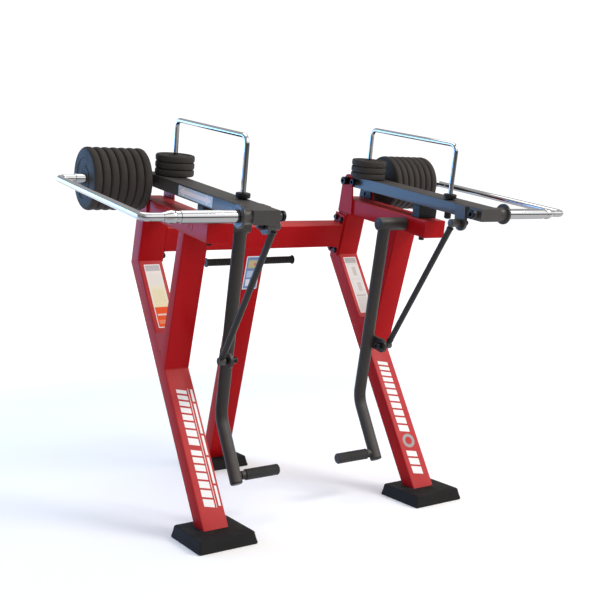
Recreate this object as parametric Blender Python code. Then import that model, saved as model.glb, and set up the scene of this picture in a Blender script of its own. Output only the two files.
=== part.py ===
"""Plate-loaded standing hip abduction machine, built as an assembly.

Metres.  X runs across the machine, Y to the rear, Z up.  The machine is
mirror-symmetric about X = 0.  Side frames lie in planes of constant X, and
every pivot turns about an X-parallel axis.
"""
import bpy
import bmesh
import math
from mathutils import Vector, Matrix

for ob in list(bpy.data.objects):
    bpy.data.objects.remove(ob, do_unlink=True)

# ------------------------------------------------------------------ constants
GAP = 0.0003            # running gap between touching pieces

Y_MID = 0.315           # depth of the middle of the footprint in build coordinates
XS = 0.472              # middle plane of each side frame
W = 0.100               # width of the frame tubes across X
D = 0.068               # depth of the legs, rear posts and beams
DF = 0.048              # depth of the front posts
CH = 0.005              # corner radius of the tubes

LEG_TAN = math.tan(math.radians(30.0))       # legs lean back going up
POST_TAN = math.tan(math.radians(19.6))      # posts lean forward going up
REAR_DEG = 19.7                              # rear leg and crossbeam tilt
BEAM_DEG = 9.9                               # slope of beams and weight arms

FOOT_B = 0.115          # half side of a foot at the floor
FOOT_T = 0.106          # half side of a foot at its top
FOOT_H = 0.045
FOOT_REAR_Y = 0.903

LEG_Y0, LEG_Z0 = -0.018, 0.045               # front lower edge of the leg tube
KNEE_Z = 0.9652                              # front of the knee
FORK_Z = 0.573                               # front of the front post's foot
WEB_ZA, WEB_ZB = 0.7030, 0.7113              # top of the fork's web at the leg and at the front post
BEAM_Z0 = 1.062                              # underside of the beam at y = 0
BEAM_Y_FRONT = -0.060
BEAM_Y_REAR = 0.512

CROSS_Y, CROSS_Z = 0.524, 1.056              # middle of the crossbeam section
CROSS_H, CROSS_D = 0.100, 0.068
FLANGE_H, FLANGE_D, FLANGE_T = 0.182, 0.066, 0.008
BOLT_U, BOLT_N = 0.0708, 0.019               # half pitches of the flange bolts
BOLT_R = 0.006

REAR_D = 0.070                               # depth of the rear leg tube
HANDLE_Y, HANDLE_Z, HANDLE_R = 0.557, 0.9465, 0.0125
GRIP_R, GRIP_END = 0.0147, 0.209

PLATE_T = 0.008                              # bracket plate thickness
WELD = 0.001                                 # how far welded pieces run into each other
PAD_X0, PAD_X1 = 0.5147, 0.5207              # wear pad on the outer bracket plate
PAD_SN = [(0.4275, 0.0003), (0.5105, 0.0003), (0.5080, 0.0280), (0.5066, 0.0500), (0.4360, 0.0500)]
BUMP_Y0, BUMP_Y1, BUMP_HW = -0.0099, 0.0350, 0.0435
PIV_Y, PIV_Z = 0.435, 1.2838                 # pivot of the weight arms
PIV_R = 0.008

ARM_Z0 = 1.2318                              # top of the arm at y = 0
ARM_H = 0.047
ARM_W = 0.0974
ARM_Y_FRONT = -0.381

LEV_Y, LEV_Z = 0.058, 1.1065                 # lever hub axis
LEV_X = 0.3225                               # middle of the lever tube
LEV_R = 0.024
HUB_R = 0.0255
HUB_X0, HUB_X1 = 0.2905, 0.4205
SHAFT_R = 0.0155
BEND_Y, BEND_Z, BEND_RAD = 0.2231, 0.3894, 0.11
LEV_END_Y, LEV_END_Z = 0.1045, 0.1575
ROLL_Y, ROLL_Z, ROLL_R = 0.1150, 0.1797, 0.0209
ROLL_X0, ROLL_X1 = 0.137, 0.2802

LUG_Y, LUG_Z = 0.1070, 0.6172                # lower rod pivot, on the lever
LUG_X0, LUG_X1, LUG_R = 0.343, 0.355, 0.028
TAB_Y, TAB_Z = -0.274, 1.1145                # upper rod pivot, on the arm
TAB_X0, TAB_X1, TAB_R = 0.4125, 0.4245, 0.0285
ROD_X = 0.3805
ROD_R, ROD_NECK_R, ROD_EYE_R = 0.0115, 0.0070, 0.0150
ROD_NECK_L, COLLAR_L, COLLAR_R = 0.0210, 0.0090, 0.0127

SLEEVE_Y = -0.350
PIN_Y = 0.3885
SLEEVE_R, PIN_SLEEVE_R, UBAR_R = 0.0197, 0.0165, 0.0131
UBAR_X = 0.873
UBAR_BEND = 0.024
SLEEVE_X0, SLEEVE_X1, STOP_X1 = 0.5613, 0.757, 0.813
PIN_X0, PIN_X1 = 0.5565, 0.810

BIG_R, BIG_T, BIG_X0, BIG_N = 0.1136, 0.0315, 0.5583, 7
SMALL_R, SMALL_T, SMALL_N = 0.0725, 0.0258, 3
LOCK_X = 0.447
LOCK_R = 0.0088
LOCK_S0, LOCK_S1 = -0.1810, 0.3450           # front and rear legs along the arm
LOCK_H = 0.2133                              # height of the lock handle over the arm
LOCK_BEND = 0.028

SEG = 24
SEG_S = 16

G = math.radians(BEAM_DEG)
ES = Vector((0.0, math.cos(G), math.sin(G)))     # along the arm, to the rear
EN = Vector((0.0, -math.sin(G), math.cos(G)))    # square to the arm, up
EX = Vector((1.0, 0.0, 0.0))


# -------------------------------------------------------------------- helpers
def shift(p):
    return Vector((p[0], p[1] - Y_MID, p[2]))


MATS = {}


def material(name, colour, rough, metal):
    if name not in MATS:
        m = bpy.data.materials.new(name)
        m.use_nodes = True
        b = m.node_tree.nodes["Principled BSDF"]
        b.inputs["Base Color"].default_value = (colour[0], colour[1], colour[2], 1.0)
        b.inputs["Roughness"].default_value = rough
        b.inputs["Metallic"].default_value = metal
        m.diffuse_color = (colour[0], colour[1], colour[2], 1.0)
        MATS[name] = m
    return MATS[name]


RED = ("red_powder_coat", (0.42, 0.012, 0.016), 0.42, 0.0)
BLACK = ("black_powder_coat", (0.035, 0.034, 0.034), 0.5, 0.0)
RUBBER = ("black_rubber", (0.03, 0.029, 0.028), 0.75, 0.0)
BASE = ("black_foot_plastic", (0.02, 0.02, 0.02), 0.6, 0.0)
CHROME = ("chrome", (0.78, 0.78, 0.79), 0.12, 1.0)
ZINC = ("black_fastener", (0.02, 0.02, 0.022), 0.4, 0.6)
BRONZE = ("bush_bronze", (0.45, 0.28, 0.12), 0.35, 1.0)
STEEL = ("bright_steel", (0.45, 0.45, 0.46), 0.3, 1.0)


def mesh_object(name, bm):
    bmesh.ops.remove_doubles(bm, verts=bm.verts, dist=0.00002)
    bmesh.ops.recalc_face_normals(bm, faces=bm.faces)
    me = bpy.data.meshes.new(name)
    bm.to_mesh(me)
    bm.free()
    ob = bpy.data.objects.new(name, me)
    bpy.context.scene.collection.objects.link(ob)
    return ob


def prism(name, poly, x0, x1, bevel=0.0, segs=2):
    """Polygon in the YZ plane run across X, long edges optionally rounded."""
    bm = bmesh.new()
    a = [bm.verts.new((x0, p[0] - Y_MID, p[1])) for p in poly]
    b = [bm.verts.new((x1, p[0] - Y_MID, p[1])) for p in poly]
    n = len(poly)
    bm.faces.new(a)
    bm.faces.new(list(reversed(b)))
    for i in range(n):
        j = (i + 1) % n
        bm.faces.new((a[i], b[i], b[j], a[j]))
    bmesh.ops.recalc_face_normals(bm, faces=bm.faces)
    if bevel > 0.0:
        longest = max((Vector(poly[i]) - Vector(poly[i - 1])).length for i in range(n))
        edges = []
        for e in bm.edges:
            v = e.verts[1].co - e.verts[0].co
            if abs(v.x) < 1e-7 and v.length > 0.28 * longest and v.length > 0.09:
                edges.append(e)
        bmesh.ops.bevel(bm, geom=edges, offset=bevel, offset_type='OFFSET',
                        segments=segs, profile=0.5, affect='EDGES')
    return mesh_object(name, bm)


def lathe(name, prof, origin, axis, n=SEG, turn=0.0):
    """Closed profile of (distance along axis, radius) turned about an axis."""
    o = shift(origin)
    a = Vector(axis).normalized()
    ref = Vector((0, 0, 1)) if abs(a.z) < 0.9 else Vector((1, 0, 0))
    u = (ref - a * ref.dot(a)).normalized()
    v = a.cross(u)
    bm = bmesh.new()
    rings = []
    for (h, r) in prof:
        if r < 1e-7:
            rings.append([bm.verts.new(o + a * h)])
        else:
            rings.append([bm.verts.new(o + a * h + (u * math.cos(turn + 2 * math.pi * k / n)
                                                    + v * math.sin(turn + 2 * math.pi * k / n)) * r)
                          for k in range(n)])
    m = len(rings)
    solid = len(rings[0]) == 1 and len(rings[-1]) == 1
    for i in range(m if not solid else m - 1):
        p, q = rings[i], rings[(i + 1) % m]
        for k in range(n):
            k2 = (k + 1) % n
            if len(p) == 1:
                bm.faces.new((p[0], q[k], q[k2]))
            elif len(q) == 1:
                bm.faces.new((p[k], q[0], p[k2]))
            else:
                bm.faces.new((p[k], q[k], q[k2], p[k2]))
    return mesh_object(name, bm)


def cyl(name, origin, axis, h0, h1, r, n=SEG_S, turn=0.0):
    return lathe(name, [(h0, 0.0), (h0, r), (h1, r), (h1, 0.0)], origin, axis, n, turn)


def ring(name, origin, axis, h0, h1, r0, r1, n=SEG):
    return lathe(name, [(h0, r0), (h0, r1), (h1, r1), (h1, r0)], origin, axis, n)


def fillet(points, radius, steps):
    """Round the inner corners of an open path."""
    out = [Vector(points[0])]
    for i in range(1, len(points) - 1):
        a, b, c = Vector(points[i - 1]), Vector(points[i]), Vector(points[i + 1])
        d0, d1 = (a - b).normalized(), (c - b).normalized()
        ang = d0.angle(d1)
        t = radius / math.tan(ang / 2.0)
        centre = b + (d0 + d1).normalized() * (radius / math.sin(ang / 2.0))
        p0, p1 = b + d0 * t, b + d1 * t
        v0, v1 = p0 - centre, p1 - centre
        total = v0.angle(v1)
        for k in range(steps + 1):
            f = k / steps
            w0 = math.sin((1 - f) * total) / math.sin(total)
            w1 = math.sin(f * total) / math.sin(total)
            out.append(centre + v0 * w0 + v1 * w1)
    out.append(Vector(points[-1]))
    return out


def tube(name, pts, normal, r, n=SEG_S):
    """Round bar along a flat path."""
    pts = [shift(p) for p in pts]
    nrm = Vector(normal).normalized()
    bm = bmesh.new()
    rings = []
    for i, p in enumerate(pts):
        if i == 0:
            t = (pts[1] - pts[0]).normalized()
            k = 1.0
        elif i == len(pts) - 1:
            t = (pts[-1] - pts[-2]).normalized()
            k = 1.0
        else:
            t0 = (p - pts[i - 1]).normalized()
            t1 = (pts[i + 1] - p).normalized()
            t = (t0 + t1).normalized()
            k = 1.0 / max(0.5, t.dot(t1))
        side = t.cross(nrm).normalized()
        rings.append([bm.verts.new(p + nrm * (r * math.cos(2 * math.pi * j / n))
                                   + side * (k * r * math.sin(2 * math.pi * j / n)))
                      for j in range(n)])
    for i in range(len(rings) - 1):
        for j in range(n):
            j2 = (j + 1) % n
            bm.faces.new((rings[i][j], rings[i + 1][j], rings[i + 1][j2], rings[i][j2]))
    bm.faces.new(rings[0])
    bm.faces.new(rings[-1])
    return mesh_object(name, bm)


def boolean(ob, other, op):
    mod = ob.modifiers.new("b", 'BOOLEAN')
    mod.operation = op
    mod.solver = 'EXACT'
    mod.object = other
    dg = bpy.context.evaluated_depsgraph_get()
    me = bpy.data.meshes.new_from_object(ob.evaluated_get(dg))
    ob.modifiers.clear()
    old = ob.data
    ob.data = me
    me.name = old.name
    bpy.data.meshes.remove(old)
    bpy.data.objects.remove(other, do_unlink=True)
    bm = bmesh.new()
    bm.from_mesh(me)
    bmesh.ops.remove_doubles(bm, verts=bm.verts, dist=0.00002)
    bmesh.ops.dissolve_degenerate(bm, edges=bm.edges, dist=0.00001)
    bm.to_mesh(me)
    bm.free()
    return ob


def cut(ob, other):
    return boolean(ob, other, 'DIFFERENCE')


def add(ob, other):
    return boolean(ob, other, 'UNION')


def finish(ob, name, mat, origin=(0.0, 0.0, 0.0), smooth=False):
    """Name the piece, give it its finish and put its origin on its axis."""
    o = shift(origin) if tuple(origin) != (0.0, 0.0, 0.0) else Vector((0, 0, 0))
    ob.data.transform(Matrix.Translation(-o))
    ob.location = o
    ob.name = name
    ob.data.name = name
    ob.data.materials.clear()
    ob.data.materials.append(material(*mat))
    for p in ob.data.polygons:
        p.use_smooth = smooth
    return ob


def arm_point(s, n=0.0, x=0.0):
    """Point on the weight arm: s along it from y = 0, n above its top face."""
    p = Vector((x, 0.0, ARM_Z0)) + ES * s + EN * n
    return p


def arm_s(y, n):
    return (y + n * math.sin(G)) / math.cos(G)


def arc(cy, cz, r, a0, a1, steps):
    return [(cy + r * math.cos(a0 + (a1 - a0) * k / steps),
             cz + r * math.sin(a0 + (a1 - a0) * k / steps)) for k in range(steps + 1)]


def leg_front(z):
    return LEG_Y0 + (z - LEG_Z0) * LEG_TAN


# --------------------------------------------------------- side frame outlines
LEG_OFF = D / math.cos(math.atan(LEG_TAN))
POST_OFF = D / math.cos(math.atan(POST_TAN))
FP_OFF = DF / math.cos(math.atan(POST_TAN))
BEAM_TAN = math.tan(G)
KNEE_Y = leg_front(KNEE_Z)
FORK_Y = leg_front(FORK_Z)
KR_Z = (KNEE_Y + POST_OFF + KNEE_Z * POST_TAN - (LEG_Y0 + LEG_OFF - LEG_Z0 * LEG_TAN)) / (LEG_TAN + POST_TAN)
KR_Y = leg_front(KR_Z) + LEG_OFF


def under_beam(y0, z0, drop):
    """Where a post face through (y0, z0) meets a line below the beam."""
    z = (BEAM_Z0 - drop + BEAM_TAN * (y0 + POST_TAN * z0)) / (1.0 + BEAM_TAN * POST_TAN)
    return (y0 - (z - z0) * POST_TAN, z)


DROP = GAP / math.cos(G)
LEG_POLY = [(leg_front(FOOT_H + GAP), FOOT_H + GAP), (KNEE_Y, KNEE_Z),
            (KR_Y, KR_Z), (leg_front(FOOT_H + GAP) + LEG_OFF, FOOT_H + GAP)]
# rear post stands on the knee, one gap above it
REAR_POST_POLY = [(KNEE_Y - 1e-4, KNEE_Z + GAP), under_beam(KNEE_Y, KNEE_Z, DROP),
                  under_beam(KNEE_Y + POST_OFF, KNEE_Z, DROP), (KR_Y - 1e-4, KR_Z + GAP)]
# front post stands on the leg's front face
_g = GAP / math.cos(math.atan(LEG_TAN))
_z0 = FORK_Z
_p0 = (FORK_Y - _g, _z0)
_b = FORK_Y + FP_OFF + _z0 * POST_TAN
_z1 = (_b - (LEG_Y0 - _g - LEG_Z0 * LEG_TAN)) / (LEG_TAN + POST_TAN)
_p1 = (_b - _z1 * POST_TAN, _z1)
# a web closes the narrow end of the fork, its top square to the fork's middle line
_w0 = (_b - WEB_ZB * POST_TAN, WEB_ZB)
_w1 = (leg_front(WEB_ZA) - _g, WEB_ZA)
FRONT_POST_POLY = [_p0, under_beam(FORK_Y - _g, _z0, DROP), under_beam(FORK_Y + FP_OFF, _z0, DROP), _w0, _w1, _p1]


def beam_pt(y, up=0.0):
    """Point on the beam: y on its underside, up square to it."""
    return (y - up * math.sin(G), BEAM_Z0 + y * BEAM_TAN + up * math.cos(G))


BEAM_POLY = [beam_pt(BEAM_Y_FRONT), beam_pt(BEAM_Y_FRONT, D), beam_pt(BEAM_Y_REAR, D), beam_pt(BEAM_Y_REAR)]

R = math.radians(REAR_DEG)
CU = Vector((-math.sin(R), math.cos(R)))     # up the rear leg, in (y, z)
CN = Vector((math.cos(R), math.sin(R)))      # square to it, to the rear


def cross_pt(u, n):
    return (CROSS_Y + CU.x * u + CN.x * n, CROSS_Z + CU.y * u + CN.y * n)


def over_beam(s, n):
    """Point s along the beam and n above its top face."""
    return beam_pt(s * math.cos(G), D + n)


BRACKET_POLY = ([(0.4125, 1.1392), (0.5095, 1.1562), (0.4955, 1.2045), (0.4790, 1.2680)]
                + arc(PIV_Y, PIV_Z, 0.028, math.radians(28), math.radians(175), 8)
                + [(0.4065, 1.2096)])

for side, sx in (("left", -1.0), ("right", 1.0)):
    xm = sx * XS
    # ---------------------------------------------------------- welded frame
    leg = prism("leg", LEG_POLY, xm - W / 2, xm + W / 2, CH)
    finish(leg, "frame_leg_" + side, RED)

    post = prism("post", REAR_POST_POLY, xm - W / 2, xm + W / 2, CH)
    for du in (-BOLT_U, BOLT_U):
        for dn in (-BOLT_N, BOLT_N):
            y, z = cross_pt(du, dn)
            cut(post, cyl("h", (0, y, z), EX * sx, XS - W / 2 - 0.001, XS - W / 2 + 0.026, BOLT_R + 0.0004, 10))
    ph, pd = BOLT_U + 0.010, BOLT_N + 0.010
    cut(post, prism("pk", [cross_pt(-ph, -pd), cross_pt(ph, -pd), cross_pt(ph, pd), cross_pt(-ph, pd)],
                    sx * (XS - W / 2 - 0.002), sx * (XS - W / 2 + 0.0036)))
    # four hex bolts and the tapped plate that they draw up against
    ph, pd = ph - GAP, pd - GAP
    xb = XS - W / 2 - GAP - FLANGE_T
    bolts = prism("bp", [cross_pt(-ph, -pd), cross_pt(ph, -pd), cross_pt(ph, pd), cross_pt(-ph, pd)],
                  sx * (XS - W / 2 + GAP), sx * (XS - W / 2 + 0.0033))
    for du in (-BOLT_U, BOLT_U):
        for dn in (-BOLT_N, BOLT_N):
            y, z = cross_pt(du, dn)
            bo = lathe("bo", [(xb - 0.0025, 0.0), (xb - 0.0025, 0.0125), (xb - GAP, 0.0125), (xb - GAP, 0.0055),
                              (XS - W / 2 + 0.024, 0.0055), (XS - W / 2 + 0.024, 0.0)], (0, y, z), EX * sx, 10)
            add(bo, cyl("hd", (0, y, z), EX * sx, xb - 0.0105, xb - 0.0020, 0.0110, 6))
            add(bolts, bo)
    finish(bolts, "crossbeam_bolts_" + side, ZINC)
    finish(post, "frame_rear_post_" + side, RED)

    fpost = prism("fpost", FRONT_POST_POLY, xm - W / 2, xm + W / 2, CH)
    finish(fpost, "frame_front_post_" + side, RED)

    beam = prism("beam", BEAM_POLY, xm - W / 2, xm + W / 2, CH)
    cut(beam, cyl("h", (0, LEV_Y, LEV_Z), EX * sx, XS - 0.06, XS + 0.06, SHAFT_R + 0.0004, SEG))
    by, bz = beam_pt((BUMP_Y0 + BUMP_Y1) / 2)
    cut(beam, cyl("h", (xm, by, bz), EN, -0.01, D + 0.01, BOLT_R + 0.0004, 12))
    # arm pivot bracket: a plate each side of the beam
    for x0 in (XS - W / 2 - PLATE_T, XS + W / 2 - WELD):
        pl = prism("pl", BRACKET_POLY, sx * x0, sx * (x0 + PLATE_T + WELD))
        cut(pl, cyl("h", (0, PIV_Y, PIV_Z), EX * sx, x0 - 0.01, x0 + PLATE_T + 0.01, PIV_R + 0.0003, SEG_S))
        add(beam, pl)
    top = (ARM_Z0 - BEAM_Z0) * math.cos(G) - ARM_H
    finish(beam, "frame_top_beam_" + side, RED)

    # ----------------------------------- bracket pad, bumper and its bolt
    bk = prism("k", [over_beam(s, n) for s, n in PAD_SN], sx * PAD_X0, sx * PAD_X1)
    cut(bk, prism("c", [over_beam(0.4570, 0.0100), over_beam(0.4780, 0.0100), over_beam(0.4780, 0.0255), over_beam(0.4570, 0.0255)],
                  sx * (PAD_X0 - 0.005), sx * (PAD_X0 + 0.0045)))
    finish(bk, "bracket_pad_" + side, BASE)

    bp = prism("b", [beam_pt(BUMP_Y0, D + GAP), beam_pt(BUMP_Y1, D + GAP), beam_pt(BUMP_Y1, top - 0.0006), beam_pt(BUMP_Y0, top - 0.0006)],
               sx * (XS - BUMP_HW), sx * (XS + BUMP_HW))
    cut(bp, cyl("h", (xm, by, bz), EN, D - 0.01, D + 0.024, BOLT_R + 0.0004, 12))
    finish(bp, "arm_bumper_" + side, RUBBER)
    hd = cyl("hd", (xm, by, bz), EN, -0.0220, -0.0025, 0.0110, 6)
    add(hd, lathe("ws", [(-0.003, 0.0), (-0.003, 0.0130), (-GAP, 0.0130), (-GAP, 0.0055), (D + 0.022, 0.0055), (D + 0.022, 0.0)],
                  (xm, by, bz), EN, 12))
    finish(hd, "bumper_bolt_" + side, ZINC)

    # ---------------------------------------------- lever shaft, pivot bolt
    sh = lathe("sh", [(0.3000, 0.0), (0.3000, SHAFT_R - 0.001), (0.3010, SHAFT_R), (XS + W / 2 + 0.0005, SHAFT_R),
                      (XS + W / 2 + 0.0005, 0.0)], (0, LEV_Y, LEV_Z), EX * sx, SEG)
    finish(sh, "lever_shaft_" + side, STEEL)
    xi, xo = XS - W / 2 - PLATE_T, XS + W / 2 + PLATE_T
    pb = lathe("pb", [(xi - 0.0285, 0.0), (xi - 0.0285, 0.0155), (xi - 0.027, 0.0170), (xi - GAP, 0.0170), (xi - GAP, PIV_R),
                      (xo + GAP, PIV_R), (xo + GAP, 0.0140), (xo + 0.0140, 0.0140), (xo + 0.0140, PIV_R - 0.001),
                      (xo + 0.0180, PIV_R - 0.001), (xo + 0.0180, 0.0)], (0, PIV_Y, PIV_Z), EX * sx, SEG_S)
    cut(pb, cyl("hex", (0, PIV_Y, PIV_Z), EX * sx, xi - 0.035, xi - 0.0225, 0.0070, 6))
    finish(pb, "arm_pivot_bolt_" + side, ZINC)

    # ------------------------------------------------------------------ foot
    bm = bmesh.new()
    levels = [(0.0, FOOT_B - 0.002), (0.003, FOOT_B), (0.008, FOOT_B), (FOOT_H - 0.003, FOOT_T + 0.0012), (FOOT_H, FOOT_T - 0.002)]
    rows = []
    for z, h in levels:
        c = 0.006
        loop = [(-h + c, -h), (h - c, -h), (h, -h + c), (h, h - c), (h - c, h), (-h + c, h), (-h, h - c), (-h, -h + c)]
        rows.append([bm.verts.new((xm + p[0], p[1] - Y_MID, z)) for p in loop])
    for i in range(len(rows) - 1):
        for k in range(8):
            bm.faces.new((rows[i][k], rows[i][(k + 1) % 8], rows[i + 1][(k + 1) % 8], rows[i + 1][k]))
    bm.faces.new(rows[0])
    bm.faces.new(rows[-1])
    finish(mesh_object("foot", bm), "foot_" + side, BASE)

    # -------------------------------------------------------------- handle grip
    grip = lathe("grip", [(0.2047, 0.0), (0.2047, 0.0128), (0.0510, 0.0128), (0.0510, GRIP_R), (0.2046, GRIP_R),
                          (0.2046, 0.0193), (GRIP_END - 0.0015, 0.0193), (GRIP_END, 0.0175), (GRIP_END, 0.0)],
                 (0, HANDLE_Y, HANDLE_Z), EX * sx, SEG)
    finish(grip, "handle_grip_" + side, RUBBER, smooth=True)

    # ---------------------------------------------------------------- lever
    piv = Vector((0.0, LEV_Y, LEV_Z))
    lx = sx * LEV_X
    path = fillet([(lx, LEV_Y, LEV_Z), (lx, BEND_Y, BEND_Z), (lx, LEV_END_Y, LEV_END_Z)], BEND_RAD, 6)
    lever = tube("lever", path, EX, LEV_R, 20)
    add(lever, lathe("hub", [(HUB_X0, 0.0), (HUB_X0, HUB_R - 0.001), (HUB_X0 + 0.001, HUB_R), (HUB_X1, HUB_R), (HUB_X1, 0.0)],
                     (0, LEV_Y, LEV_Z), EX * sx, 20))
    low = (Vector((0, LEV_END_Y, LEV_END_Z)) - Vector((0, BEND_Y, BEND_Z))).normalized()
    add(lever, lathe("plug", [(-0.004, 0.0), (-0.004, LEV_R - 0.001), (0.003, LEV_R - 0.001), (0.006, LEV_R - 0.005), (0.007, 0.0)],
                     (lx, LEV_END_Y, LEV_END_Z), low, SEG_S))
    axis_y = LEV_Y + (LEV_Z - LUG_Z) * (BEND_Y - LEV_Y) / (LEV_Z - BEND_Z)
    lug_poly = [(axis_y + 0.004, LUG_Z - 0.012), (axis_y - 0.006, LUG_Z + 0.038)] \
        + arc(LUG_Y, LUG_Z, LUG_R, math.radians(75), math.radians(275), 9)
    add(lever, prism("lug", lug_poly, sx * LUG_X0, sx * LUG_X1))
    stub = lathe("stub", [(LEV_X, 0.0), (LEV_X, 0.011), (LEV_X - 0.0005, 0.0165), (0.2806, 0.0165),
                          (0.2806, 0.0105), (0.1425, 0.0105), (0.1425, 0.0)], (0, ROLL_Y, ROLL_Z), EX * sx, SEG_S)
    add(lever, stub)
    cut(lever, cyl("h", (0, LEV_Y, LEV_Z), EX * sx, HUB_X0 + 0.0045, HUB_X1 + 0.01, 0.0198, 20))
    cut(lever, cyl("h", (0, LUG_Y, LUG_Z), EX * sx, LUG_X0 - 0.004, LUG_X1 + 0.004, 0.0078, SEG_S))
    finish(lever, "lever_" + side, BLACK, piv)

    bush = ring("bush", (0, LEV_Y, LEV_Z), EX * sx, 0.3020, 0.4195, 0.0160, 0.0195, 20)
    finish(bush, "lever_bush_" + side, BRONZE, piv, smooth=True)

    bolt = lathe("bolt", [(0.3185, 0.0), (0.3185, 0.0115), (0.3195, 0.0125), (LUG_X0 - GAP, 0.0125), (LUG_X0 - GAP, 0.0075),
                          (LUG_X1 + GAP, 0.0075), (LUG_X1 + GAP, 0.0120), (0.3672, 0.0120), (0.3672, 0.0075),
                          (0.3910, 0.0075), (0.3910, 0.0)], (0, LUG_Y, LUG_Z), EX * sx, SEG_S)
    finish(bolt, "lug_bolt_" + side, ZINC, (0, LUG_Y, LUG_Z), smooth=False)

    roller = lathe("roller", [(ROLL_X0, 0.0), (ROLL_X0, ROLL_R - 0.003), (ROLL_X0 + 0.003, ROLL_R), (ROLL_X1, ROLL_R),
                              (ROLL_X1, 0.0112), (0.1420, 0.0112), (0.1420, 0.0)], (0, ROLL_Y, ROLL_Z), EX * sx, SEG)
    finish(roller, "foot_roller_" + side, RUBBER, (0, ROLL_Y, ROLL_Z), smooth=True)

    # -------------------------------------------------------------- link rod
    a = Vector((sx * ROD_X, LUG_Y, LUG_Z))
    b = Vector((sx * ROD_X, TAB_Y, TAB_Z))
    d = (b - a).normalized()
    ln = (b - a).length
    n0, n1 = ROD_NECK_L, ROD_NECK_L + COLLAR_L
    rod = lathe("rod", [(0.0, 0.0), (0.0, ROD_NECK_R), (n0, ROD_NECK_R), (n0, COLLAR_R), (n1, COLLAR_R), (n1, ROD_R),
                        (ln - n1, ROD_R), (ln - n1, COLLAR_R), (ln - n0, COLLAR_R), (ln - n0, ROD_NECK_R),
                        (ln, ROD_NECK_R), (ln, 0.0)], a, d, SEG_S)
    add(rod, cyl("e0", (0, LUG_Y, LUG_Z), EX * sx, 0.3675, 0.3925, ROD_EYE_R, SEG_S))
    add(rod, cyl("e1", (0, TAB_Y, TAB_Z), EX * sx, 0.3665, 0.4075, ROD_EYE_R, 20))
    cut(rod, cyl("h0", (0, LUG_Y, LUG_Z), EX * sx, 0.3600, 0.3915, 0.0078, SEG_S))
    cut(rod, cyl("h1", (0, TAB_Y, TAB_Z), EX * sx, 0.3697, 0.4100, 0.0128, SEG))
    finish(rod, "link_rod_" + side, BLACK, (0, LUG_Y, LUG_Z))

    # ------------------------------------------------------------ weight arm
    apiv = Vector((0.0, PIV_Y, PIV_Z))
    ax0, ax1 = XS - ARM_W / 2, XS + ARM_W / 2
    sp = arm_s(PIV_Y, -ARM_H / 2)
    sf = arm_s(ARM_Y_FRONT, 0.0)
    pts = [arm_point(sf, -ARM_H), arm_point(sf, 0.0), arm_point(sp, 0.0)]
    c = arm_point(sp, -ARM_H / 2)
    for k in range(1, 8):
        t = math.pi / 2 - math.pi * k / 8
        pts.append(c + ES * (ARM_H / 2 * math.cos(t)) + EN * (ARM_H / 2 * math.sin(t)))
    pts.append(arm_point(sp, -ARM_H))
    arm = prism("arm", [(p.y, p.z) for p in pts], sx * ax0, sx * ax1, 0.004)
    st = arm_s(TAB_Y, -ARM_H)
    t0, t1 = arm_point(st - TAB_R, -0.0005), arm_point(st + TAB_R, -0.0005)
    # the tab hangs from the arm's inner face and ends in a round eye
    tab_poly = [(TAB_Y - TAB_R, TAB_Z), (TAB_Y - TAB_R + 0.0, t0.z), (TAB_Y + TAB_R, t1.z)] \
        + arc(TAB_Y, TAB_Z, TAB_R, 0.0, -math.pi, 10)[:-1]
    add(arm, prism("tab", tab_poly, sx * TAB_X0, sx * TAB_X1))
    cut(arm, cyl("h", (0, PIV_Y, PIV_Z), EX * sx, ax0 - 0.01, ax1 + 0.01, PIV_R + 0.0003, SEG_S))
    # collars and back discs for the load sleeve and the plate pin
    cf = arm_point(arm_s(SLEEVE_Y, -ARM_H / 2), -ARM_H / 2)
    cr = arm_point(arm_s(PIN_Y, -ARM_H / 2), -ARM_H / 2)
    of, orr = (0, cf.y, cf.z), (0, cr.y, cr.z)
    add(arm, lathe("fl", [(ax1 - WELD, 0.0), (ax1 - WELD, 0.0222), (ax1 + 0.0025, 0.0245), (0.5530, 0.0245), (0.5530, 0.0375),
                          (0.5537, 0.0380), (0.5603, 0.0380), (0.5610, 0.0375), (0.5610, 0.0)], of, EX * sx, 20))
    add(arm, lathe("fr", [(ax1 - WELD, 0.0), (ax1 - WELD, 0.0160), (0.5480, 0.0160), (0.5480, 0.0300), (0.5562, 0.0300),
                          (0.5562, 0.0)], orr, EX * sx, SEG_S))
    for yy in (SLEEVE_Y, PIN_Y):
        cc = arm_point(arm_s(yy, -ARM_H / 2), -ARM_H / 2)
        cut(arm, cyl("h", (0, cc.y, cc.z), EX * sx, ax0 - 0.01, 0.570, BOLT_R + 0.0004, 12))
    for ss, hr in ((LOCK_S0, 0.0112), (LOCK_S1, LOCK_R + 0.0004)):
        cc = arm_point(ss, 0.0, sx * LOCK_X)
        cut(arm, cyl("h", cc, EN, -ARM_H - 0.01, 0.01, hr, 12))
    cut(arm, cyl("h", (0, TAB_Y, TAB_Z), EX * sx, TAB_X0 - 0.004, TAB_X1 + 0.004, 0.0043, 12))
    finish(arm, "weight_arm_" + side, BLACK, apiv)

    tb = lathe("tb", [(0.3720, 0.0), (0.3720, 0.0040), (0.4083, 0.0040), (0.4083, 0.0115), (TAB_X0 - GAP, 0.0115),
                      (TAB_X0 - GAP, 0.0040), (TAB_X1 + GAP, 0.0040), (TAB_X1 + GAP, 0.0122), (0.4480, 0.0122),
                      (0.4490, 0.0112), (0.4490, 0.0)], (0, TAB_Y, TAB_Z), EX * sx, SEG_S)
    finish(tb, "tab_bolt_" + side, ZINC, apiv)

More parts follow.
